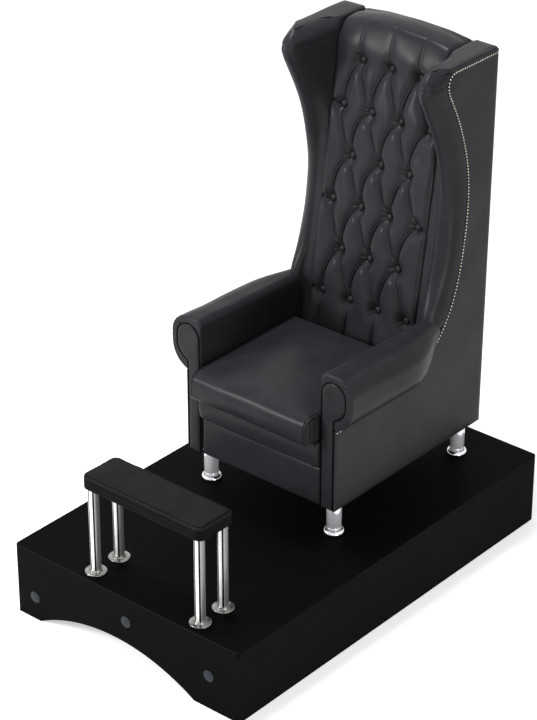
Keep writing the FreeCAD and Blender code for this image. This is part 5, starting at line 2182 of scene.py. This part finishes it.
@dataclass(frozen=True)
class Inflation:
    """How a closed shell is blown up as cloth."""

    voxel: float
    pressure: float
    cap: float
    frames: int = 20
    quality: int = 5
    mass: float = 0.3
    tension: float = 22.0
    compression: float = 18.0
    shear: float = 8.0
    bending: float = 2.0

    def run(self, obj: Obj, held: Callable[[Array], Array]) -> None:
        """Remeshes a shell and inflates it between its held parts.

        Args:
            obj: The shell.
            held: Gives for points in metres how firmly each is held, from 0 to 1.
        """
        add_modifier(obj, "REMESH", mode="VOXEL", voxel_size=self.voxel * MM)
        apply_modifiers(obj)
        start = points_of(obj)
        group = obj.vertex_groups.new(name="held")
        weights = held(start)
        for index in np.nonzero(weights > 0.01)[0]:
            group.add([int(index)], float(weights[index]), "REPLACE")
        self.add_cloth(obj, group.name)
        scene = bpy.context.scene
        for frame_number in range(1, self.frames + 1):
            scene.frame_set(frame_number)
        apply_modifiers(obj)
        scene.frame_set(1)
        obj.vertex_groups.clear()
        moved = points_of(obj) - start
        length = np.linalg.norm(moved, axis=1, keepdims=True)
        share = np.minimum(1.0, self.cap * MM / np.maximum(length, 1e-9))
        move_points(obj, start + moved * share)

    def add_cloth(self, obj: Obj, group: str) -> None:
        """Adds the cloth that is blown up.

        Args:
            obj: The shell.
            group: The vertex group of its held parts.
        """
        modifier = add_modifier(obj, "CLOTH")
        values = {
            "quality": self.quality,
            "mass": self.mass,
            "use_pressure": True,
            "uniform_pressure_force": self.pressure,
            "tension_stiffness": self.tension,
            "compression_stiffness": self.compression,
            "shear_stiffness": self.shear,
            "bending_stiffness": self.bending,
            "vertex_group_mass": group,
        }
        for name, value in values.items():
            setattr(modifier.settings, name, value)
        modifier.settings.effector_weights.gravity = 0.0
        modifier.collision_settings.use_collision = False
        modifier.point_cache.frame_start = 1
        modifier.point_cache.frame_end = self.frames


def seat_on_surface(obj: Obj, path: Array, inward: Array, lift: float) -> Array:
    """Drops a path onto a piece.

    Args:
        obj: The piece.
        path: Points in metres, outside the piece.
        inward: The direction towards the piece at each point.
        lift: How far above the surface the points end, in metres.

    Returns:
        The points on the surface, in metres.
    """
    tree = BVHTree.FromObject(obj, bpy.context.evaluated_depsgraph_get())
    found = []
    for point, direction in zip(path, inward):
        hit, normal, _index, _distance = tree.ray_cast(Vector(point), Vector(direction), 0.2)
        if hit is not None:
            found.append(np.array(hit + normal * lift))
    return np.array(found)


@dataclass
class SeatCushion(SubAssembly):
    """The loose boxed cushion: its top runs over its front, and its sides are sewn in."""

    half: float = 249.0
    front: float = -65.0
    back: float = 478.0
    bottom: float = 238.4
    edge_height: float = 98.0
    crown: float = 12.0
    front_round: float = 34.0
    seam_inset: float = 2.0
    fold_offsets: Pair = (4.0, 15.0)
    stitch_offsets: Pair = (7.5, 11.5)
    middle_y: float = 200.0
    inflation: Inflation = Inflation(voxel=6.0, pressure=4.0, cap=11.0)

    def side_outline(self, inset: float) -> Array:
        """The side panel's outline.

        Args:
            inset: How far it is drawn in all round.

        Returns:
            A ring of (y, z).
        """
        low, high = self.bottom + inset, self.bottom + self.edge_height - inset
        front, back = self.front + inset, self.back - inset
        corners = ((front, low, 14.0, 1.0), (back, low, 14.0, 1.5), (back, high, 20.0, 0.0))
        corners += ((front, high, self.front_round, 0.5),)
        ring = []
        for y, z, radius, start in corners:
            radius = max(radius - inset, 2.0)
            middle = (y + radius if y == front else y - radius, z + radius if z == low else z - radius)
            ring.append(arc(middle, radius, start, start + 0.5, 9))
        return resample(np.vstack(ring), 150, closed=True)

    def swell(self, ring: Array, x: float) -> Array:
        """Lifts the top of one section by the crown and swells its front.

        Args:
            ring: The section's (y, z).
            x: Where it stands.

        Returns:
            The swollen ring.
        """
        y, rise = ring[:, 0], (ring[:, 1] - self.bottom) / self.edge_height
        share_y = np.clip((y - self.front) / (self.back - self.front), 0, 1)
        along = 1 - np.abs(2 * share_y - 1) ** 3
        across = 1 - abs(x / self.half) ** 2.6
        lifted = ring.copy()
        lifted[:, 1] += rise * self.crown * across * (0.35 + 0.65 * along)
        front = np.clip((40.0 - (y - self.front)) / 40.0, 0, 1)
        lifted[:, 0] -= 3.0 * across * front * np.sin(np.pi * np.clip(rise, 0, 1))
        return lifted

    def build_shell(self) -> Obj:
        """Builds the sewn shell before it is filled.

        Returns:
            The shell.
        """
        ends = [(-1.0, 10.0), (-1.0, 6.0), (-0.9965, 1.5), (-0.985, 0.0)]
        stations = [*ends, *((share, 0.0) for share in np.linspace(-0.94, 0.94, 24))]
        stations += [(-share, inset) for share, inset in reversed(ends)]
        rings = []
        for share, inset in stations:
            x = share * (self.half - 2.5)
            rings.append(upright(x, self.swell(self.side_outline(inset + 1.5), x)))
        return loft_object("seat_cushion_cover", rings)

    def seam(self, side: Side) -> Array:
        """The closed sewn line round a side panel, in the chair's frame.

        Args:
            side: Which side.

        Returns:
            Points (x, y, z).
        """
        ring = self.side_outline(self.seam_inset)
        return upright(side.value * (self.half - 1.0), np.vstack([ring, ring[:1]]))

    def held(self, points: Array) -> Array:
        """How firmly the cover is held: at its seams and where it lies on the deck.

        Args:
            points: The cover's points in metres.

        Returns:
            A weight for each point.
        """
        place = points / MM - CHAIR_ORIGIN
        sewn = [path_distance(place, self.seam(side)) < 9.0 for side in Side]
        return np.where((place[:, 2] < self.bottom + 5) | sewn[0] | sewn[1], 1.0, 0.0)

    def shape(self, obj: Obj) -> None:
        """Presses in the seams, adds the cover's pulls and keeps the cushion clear of its neighbours.

        Args:
            obj: The filled cushion.
        """
        place = place_of(obj)
        height = waves(place, 61, 0.35, 190.0)
        for side in Side:
            near = path_distance(place, self.seam(side))
            height -= 2.4 * groove(near, 3.4)
            uneven = np.cos(place[:, 1] * 0.21 + 2.0 * np.sin(place[:, 1] * 0.043 + side.value))
            height += 0.55 * uneven * groove(near - 14, 13.0)
        push(obj, height)
        low = (-self.half - 1.6, self.front - 6.0, self.bottom)
        high = (self.half + 1.6, self.back + 3.0, self.bottom + self.edge_height + self.crown + 6.0)
        move_points(obj, (np.clip(place_of(obj), low, high) + CHAIR_ORIGIN) * MM)

    def sewn_line(self, obj: Obj, side: Side, offset: float) -> Array:
        """A line beside a side seam, over the cushion's top and down its front.

        Args:
            obj: The finished cushion.
            side: Which side.
            offset: How far in from the side the line lies.

        Returns:
            Points on the cushion, in metres.
        """
        ring = self.side_outline(1.0)
        upper = ring[(ring[:, 1] > self.bottom + 12) & (ring[:, 0] < self.back - 30)]
        order = np.argsort(np.arctan2(upper[:, 1] - self.bottom, upper[:, 0] - self.middle_y))
        upper = resample(upper[order], 240)
        away = upper - (self.middle_y, self.bottom + 20.0)
        away[upper[:, 0] > self.front + 45, 0] = 0.0
        away[upper[:, 1] < self.bottom + 50, 1] = 0.0
        away /= np.maximum(np.linalg.norm(away, axis=1, keepdims=True), 1e-6)
        start = upright(side.value * (self.half - offset), upper + away * 40.0)
        return seat_on_surface(obj, (start + CHAIR_ORIGIN) * MM, upright(0.0, -away), 0.00015)

    def stitch(self, obj: Obj) -> None:
        """Lays two thin near-black cords beside each side seam as painted shade in its folds, and sews two
        rows of stitches.

        Args:
            obj: The finished cushion.
        """
        kinds = (
            # The seam cords are painted shade lines laid in the cover's folds; the stitches are thread.
            ("seam", self.fold_offsets, self.trees.welt, {"Radius": 0.0009}),
            ("stitches", self.stitch_offsets, self.trees.stitches, {}),
        )
        for side in Side:
            for kind, offsets, tree, values in kinds:
                for number, offset in enumerate(offsets, 1):
                    row = self.sewn_line(obj, side, offset) / MM
                    name = f"seat_cushion_{kind}_{side.word}_{number}"
                    line = points_object(name, row, NO_ORIGIN, linked=True)
                    self.shop.repeated(tree, line, "welt", body=CUSHION_BODY, **values)

    def build(self) -> None:
        """Builds and finishes the cushion."""
        obj = self.build_shell()
        self.inflation.run(obj, self.held)
        subdivide(obj)
        self.shape(obj)
        self.shop.piece(obj, "upholstery", ("seat_cushion",), body=CUSHION_BODY, angle=70.0, fill=0.75)
        self.stitch(obj)


@dataclass
class DeckPad(SubAssembly):
    """The thin foam deck under the loose cushion, in its black cloth."""

    node: str = "seat_deck_pad"
    section: tuple[Pair, ...] = (
        (7.0, 0.0), (2.0, 0.02), (0.6, 0.12), (0.4, 0.4), (0.8, 0.7), (2.4, 0.88), (6.0, 0.965), (16.0, 0.99),
        (40.0, 1.0),
    )
    corner: float = 12.0

    def build(self) -> None:
        """Builds the pad in its solid's box, with soft edges and a slight fall at its rim."""
        low, high = (np.array(corner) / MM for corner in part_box(self.node))
        middle, half = (low + high) / 2, (high - low) / 2
        rings = []
        for inset, share in self.section:
            radius = max(self.corner - inset, 3.0)
            ring = rounded_rectangle(middle, half - inset, radius, 7, 160)
            rings.append(level(ring, low[2] + share * (high[2] - low[2])))
        obj = loft_object("deck_pad", rings, NO_ORIGIN)
        subdivide(obj)
        self.shop.piece(obj, "cloth", (self.node,), angle=70.0, fill=0.5)


@dataclass
class FootrestPad(SubAssembly):
    """The footrest's stuffed pad on its wrapped board, with a seam round its top."""

    centre: Pair = (55.0, 107.0)
    half: Pair = (251.5, 80.5)
    corner: float = 27.5
    low: float = 574.8
    pad_section: tuple[Pair, ...] = (
        (7.0, 0.0), (2.6, 0.6), (1.2, 3.0), (1.0, 8.0), (1.0, 16.0), (1.0, 28.0), (1.4, 37.0), (3.2, 42.0),
        (6.5, 45.6), (16.0, 47.6), (36.0, 48.6), (56.0, 49.0),
    )
    wrap_section: tuple[Pair, ...] = (
        (8.0, 0.0), (2.2, 0.0), (1.3, 0.4), (0.8, 1.6), (0.8, 15.0), (1.6, 18.0), (8.0, 19.0),
    )
    seam_inset: float = 8.5
    seam_height: float = 621.0
    inflation: Inflation = Inflation(voxel=4.0, pressure=3.5, cap=4.5)

    def plan(self, inset: float) -> Array:
        """The pad's outline in plan, drawn in by an inset."""
        half = (self.half[0] - inset, self.half[1] - inset)
        return rounded_rectangle(self.centre, half, max(self.corner - inset, 3.0), 10, 220)

    def build_shell(self, name: str, section: Sequence[Pair]) -> Obj:
        """Builds a shell on the pad's outline.

        Args:
            name: The object's name.
            section: How far each ring is drawn in and how high it lies.

        Returns:
            The shell.
        """
        rings = [level(self.plan(inset), self.low + lift) for inset, lift in section]
        return loft_object(name, rings, PLATFORM_ORIGIN)

    def seam(self) -> Array:
        """The seam round the pad's top, closed."""
        ring = level(self.plan(self.seam_inset), self.seam_height)
        return np.vstack([ring, ring[:1]])

    def held(self, points: Array) -> Array:
        """How firmly the cover is held: at its seam and on its board.

        Args:
            points: The cover's points in metres.

        Returns:
            A weight for each point.
        """
        place = points / MM - PLATFORM_ORIGIN
        return np.where((place[:, 2] < self.low + 17.0) | (path_distance(place, self.seam()) < 6.0), 1.0, 0.0)

    def shape(self, obj: Obj) -> None:
        """Presses in the seam with its small gathers and keeps the pad flat below.

        Args:
            obj: The filled pad.
        """
        place = place_of(obj, PLATFORM_ORIGIN)
        near = path_distance(place, self.seam())
        height = waves(place, 71, 0.4, 90.0) - 2.6 * groove(near, 2.8)
        around = np.arctan2(place[:, 1] - self.centre[1], (place[:, 0] - self.centre[0]) * 0.5)
        height += 0.3 * np.cos(around * 60 + 3 * np.sin(around * 7)) * groove(near - 7, 6.0)
        push(obj, height)
        place = place_of(obj, PLATFORM_ORIGIN)
        place[:, 2] = np.maximum(place[:, 2], self.low)
        move_points(obj, (place + PLATFORM_ORIGIN) * MM)

    def build(self) -> None:
        """Builds and finishes the pad and its welt."""
        obj = self.build_shell("footrest_pad", self.pad_section)
        self.inflation.run(obj, self.held)
        subdivide(obj)
        self.shape(obj)
        wrap = self.build_shell("footrest_wrap", self.wrap_section)
        whole = join("footrest_pad", [obj, wrap])
        self.shop.piece(whole, "footrest", ("footrest_cushion",), angle=70.0, fill=0.9)
        above = (self.seam() + (0.0, 0.0, 40.0) + PLATFORM_ORIGIN) * MM
        down = np.tile((0.0, 0.0, -1.0), (len(above), 1))
        line = seat_on_surface(whole, above, down, 0.0) / MM
        # The welt's near-black colour is partly painted shade of the seam's groove.
        welt = points_object("footrest_welt", line, NO_ORIGIN, linked=True)
        self.shop.repeated(self.trees.welt, welt, "welt", Radius=0.0020)


# Metalwork


def lathe_object(name: str, profile: Sequence[Pair], centre: Array, segments: int) -> Obj:
    """Turns a closed profile round an upright axis.

    Args:
        name: The object's name.
        profile: A ring of (radius, height).
        centre: The axis's place in the row frame, in millimetres.
        segments: How many steps a turn has.

    Returns:
        The object.
    """
    turn = np.linspace(0.0, 2 * np.pi, segments, endpoint=False)
    radius, height = np.array(profile, float).T
    sides = (np.outer(np.cos(turn), radius), np.outer(np.sin(turn), radius), np.tile(height, (segments, 1)))
    points = np.stack(sides, axis=2).reshape(-1, 3)
    obj = make_object(name, points, grid_faces(segments, len(radius), closed=True, joined=True), centre)
    edit_mesh(obj.data, drop_flat_faces, face_outwards)
    return obj


@dataclass
class ChromeLegs(SubAssembly):
    """Four tube legs, each on a ringed foot that screws up and down."""

    spots: tuple[tuple[str, float, float], ...] = (
        ("front_left", -265.0, 62.0),
        ("front_right", 265.0, 62.0),
        ("back_left", -265.0, 725.0),
        ("back_right", 265.0, 725.0),
    )
    radius: float = 25.0
    wall: float = 2.0
    height: float = 125.0
    tube_bottom: float = -111.0
    segments: int = 96
    foot_profile: tuple[Pair, ...] = (
        (0.0, 0.0), (31.0, 0.0), (33.2, 0.9), (34.6, 3.0), (35.2, 6.3), (34.9, 9.6), (33.6, 12.8),
        (31.4, 15.8), (29.0, 17.6), (27.4, 18.1), (26.2, 17.7), (25.6, 16.5), (25.6, 5.0), (5.0, 5.0),
        (5.0, 42.0), (0.0, 42.0),
    )

    def tube_profile(self) -> list[Pair]:
        """The leg's wall with its lower edge eased.

        Returns:
            A ring of (radius, height).
        """
        low, inner = self.tube_bottom, self.radius - self.wall
        return [
            (inner, low + 0.3),
            (inner + 0.4, low),
            (self.radius - 0.6, low),
            (self.radius, low + 0.6),
            (self.radius, -0.6),
            (self.radius - 0.5, 0.0),
            (inner, 0.0),
        ]

    def build(self) -> None:
        """Builds the legs and feet."""
        for word, x, y in self.spots:
            centre = CHAIR_ORIGIN + (x, y, 0.0)
            leg = lathe_object(f"{word}_leg_tube", self.tube_profile(), centre, self.segments)
            self.shop.piece(leg, "legs", (f"leg_{word}",), angle=50.0)
            ground = centre - (0, 0, self.height)
            foot = lathe_object(f"{word}_foot_ring", self.foot_profile, ground, self.segments)
            self.shop.piece(foot, "chrome", (f"foot_{word}",), body=f"foot_{word}_screw", angle=50.0)


@dataclass
class FootrestPosts(SubAssembly):
    """Four chrome posts on round flanges that are screwed to the deck."""

    centre: Pair = (55.0, 107.0)
    spacing: Pair = (443.0, 107.0)
    deck: float = 262.0
    top: float = 576.0
    radius: float = 17.5
    wall: float = 1.8
    flange_radius: float = 36.0
    flange: float = 3.5
    screw_circle: float = 27.0
    screw_count: int = 3
    segments: int = 80

    def spots(self) -> list[tuple[str, float, float]]:
        """Each post's word and place in plan."""
        (x, y), (wide, deep) = self.centre, self.spacing
        return [
            (f"{depth}_{across}", x + sx * wide / 2, y + sy * deep / 2)
            for depth, sy in (("front", -1), ("back", 1))
            for across, sx in (("left", -1), ("right", 1))
        ]

    def flange_profile(self) -> list[Pair]:
        """The flange: a disc with an eased rim and a short collar.

        Returns:
            A ring of (radius, height).
        """
        r, t, tube = self.flange_radius, self.flange, self.radius
        collar = ((4.2, 0.0), (3.2, 0.5), (2.6, 1.6), (2.4, 6.4), (1.9, 7.4), (0.9, 7.8), (0.0, 7.8))
        disc = [(tube, 0.0), (r - 0.6, 0.0), (r, 0.7), (r, t - 1.3), (r - 0.5, t - 0.4), (r - 1.5, t)]
        return disc + [(tube + out, t + up) for out, up in collar]

    def build(self) -> None:
        """Builds posts, flanges and their screws."""
        flanges, screws = [], []
        inner, low = self.radius - self.wall, self.deck + self.flange
        profile = [(inner, low), (self.radius, low), (self.radius, self.top), (inner, self.top)]
        circle = arc((0.0, 0.0), self.screw_circle, 0.5, 2.5, self.screw_count + 1)[:-1]
        for word, x, y in self.spots():
            centre = PLATFORM_ORIGIN + (x, y, 0.0)
            post = lathe_object(f"{word}_post_tube", profile, centre, self.segments)
            self.shop.piece(post, "post", (f"footrest_post_{word}",), angle=50.0)
            foot = centre + (0, 0, self.deck)
            flanges.append(lathe_object(f"{word}_flange", self.flange_profile(), foot, self.segments))
            screws.append(level((x, y) + circle, low - 0.2))
        self.shop.piece(join("post_flanges", flanges), "nickel", ("footrest_flanges",), angle=50.0)
        heads = points_object("flange_screw_heads", np.vstack(screws), PLATFORM_ORIGIN)
        self.shop.repeated(self.trees.screw_heads, heads, "zinc", ("footrest_flange_screws",), angle=35.0)


# What stays as the frame has it


class CarriedOver:
    """The frame's own pieces that show as they are or lie hidden, with their finishes."""

    finishes: dict[str, tuple[str, ...]] = {
        "laminate": (
            "platform_deck", "platform_front_panel", "platform_back_panel", "platform_left_panel",
            "platform_right_panel",
        ),
        "cap": ("panel_caps", "footrest_post_plugs"),
        "zinc": ("footrest_board_bolts", "leg_screws", "leg_plates", "leg_nuts", "panel_cap_screws"),
        "cloth": ("seat_webbing", "dust_cover"),
        "timber": (
            "platform_ribs", "platform_corner_blocks", "front_panel_battens", "footrest_board",
            "footrest_backing_board", "left_side_frame", "right_side_frame", "left_back_post",
            "right_back_post", "back_cross_rails", "seat_rails", "leg_blocks", "tufting_board",
        ),
    }

    def __init__(self, palette: Palette) -> None:
        """Keeps the palette."""
        self.palette = palette

    def dress(self) -> None:
        """Gives every carried-over node its finish."""
        for finish, names in self.finishes.items():
            for name in names:
                self.palette.dress_node(name, finish)


# The picture


@dataclass
class Studio:
    """Camera, lamps, white floor and white surroundings."""

    place: Triple = (4.767, -5.661, 4.858)
    azimuth: float = 40.418
    elevation: float = 29.157
    lens: float = 131.04
    shift_x: float = -0.003
    shift_y: float = 0.0201
    ambient: float = 0.5
    floor_lift: float = 0.5
    floor_reach: float = 30.0
    floor_height: float = -0.001
    floor_colour: Triple = (0.95, 0.95, 0.95)
    lamps: tuple[tuple[str, Triple, Triple, float, float], ...] = (
        ("window_left", (-2.1, -3.4, 2.1), (0.0, 0.0, 0.6), 0.9, 118.0),
        ("panel_above", (-0.5, -0.2, 4.6), (0.0, 0.0, 0.8), 0.9, 105.0),
        ("fill_right", (4.2, -1.6, 0.8), (0.2, 0.0, 0.3), 1.2, 48.0),
    )

    def camera(self) -> None:
        """Sets the camera where the photograph was taken from."""
        data = bpy.data.cameras.new("photo_camera")
        data.lens = self.lens
        data.sensor_width = 36.0
        data.shift_x, data.shift_y = self.shift_x, self.shift_y
        data.clip_start, data.clip_end = 0.1, 60.0
        camera = linked_object("photo_camera", data)
        a, e = math.radians(self.azimuth), math.radians(self.elevation)
        back = Vector((math.sin(a) * math.cos(e), -math.cos(a) * math.cos(e), math.sin(e)))
        self.aim(camera, self.place, -back)
        bpy.context.scene.camera = camera

    def aim(self, obj: Obj, place: Sequence[float], way: Vector) -> None:
        """Puts a camera or lamp in its place and turns it.

        Args:
            obj: The camera or lamp.
            place: Where it stands.
            way: Which way it looks.
        """
        obj.location = place
        obj.rotation_mode = "QUATERNION"
        obj.rotation_quaternion = way.to_track_quat("-Z", "Y")

    def lamp(self, name: str, place: Triple, target: Triple, size: float, power: float) -> None:
        """Adds one soft square lamp.

        Args:
            name: Its name.
            place: Where it stands.
            target: What it points at.
            size: Its width.
            power: Its power in watts.
        """
        data = bpy.data.lights.new(name, "AREA")
        data.shape = "SQUARE"
        data.size = size
        data.energy = power
        self.aim(linked_object(name, data), place, Vector(target) - Vector(place))

    def world(self) -> None:
        """White to the eye and in reflections, softer as a light."""
        world = bpy.data.worlds.new("white_room")
        world.use_nodes = True
        world.node_tree.nodes.clear()
        tree = NodeTree(world.node_tree)
        strength = tree.ramp(tree.seen_directly(), 0.0, 1.0, self.ambient, 1.0)
        light = tree.add("ShaderNodeBackground", {"Color": WHITE, "Strength": strength})
        tree.add("ShaderNodeOutputWorld", {"Surface": light.outputs[0]})
        bpy.context.scene.world = world

    def floor(self) -> None:
        """A wide white floor that keeps the platform's shadow."""
        mesh = bpy.data.meshes.new("floor")
        corners = [(x * self.floor_reach, y * self.floor_reach, self.floor_height) for x, y in SQUARE]
        mesh.from_pydata(corners, [], [(0, 1, 2, 3)])
        material = bpy.data.materials.new("white_floor")
        material.use_nodes = True
        tree = NodeTree(material.node_tree)
        values = {
            "Base Color": (*self.floor_colour, 1.0),
            "Roughness": 0.9,
            "Specular IOR Level": 0.0,
            "Emission Color": WHITE,
            "Emission Strength": tree.math("MULTIPLY", tree.seen_directly(), self.floor_lift),
        }
        for label, value in values.items():
            tree.link(value, material.node_tree.nodes["Principled BSDF"].inputs[label])
        mesh.materials.append(material)
        linked_object("floor", mesh)

    def build(self) -> None:
        """Sets up the whole studio."""
        self.camera()
        self.world()
        self.floor()
        for lamp in self.lamps:
            self.lamp(*lamp)


def main() -> None:
    """Builds the whole scene."""
    logging.basicConfig(level=logging.INFO, format="%(name)s: %(message)s")
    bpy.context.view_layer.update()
    bpy.context.scene.view_settings.view_transform = "Standard"
    shop = Workshop(Palette(), RepeatTrees(), ChairLines())
    CarriedOver(shop.palette).dress()
    TuftedBack(shop).build()
    for side in Side:
        Wing(shop, side).build()
        Arm(shop, side).build()
    for kind in (BodyPanels, NailTrim, SeatCushion, DeckPad, FootrestPad, ChromeLegs, FootrestPosts):
        kind(shop).build()
    Studio().build()


if __name__ == "__main__":
    main()
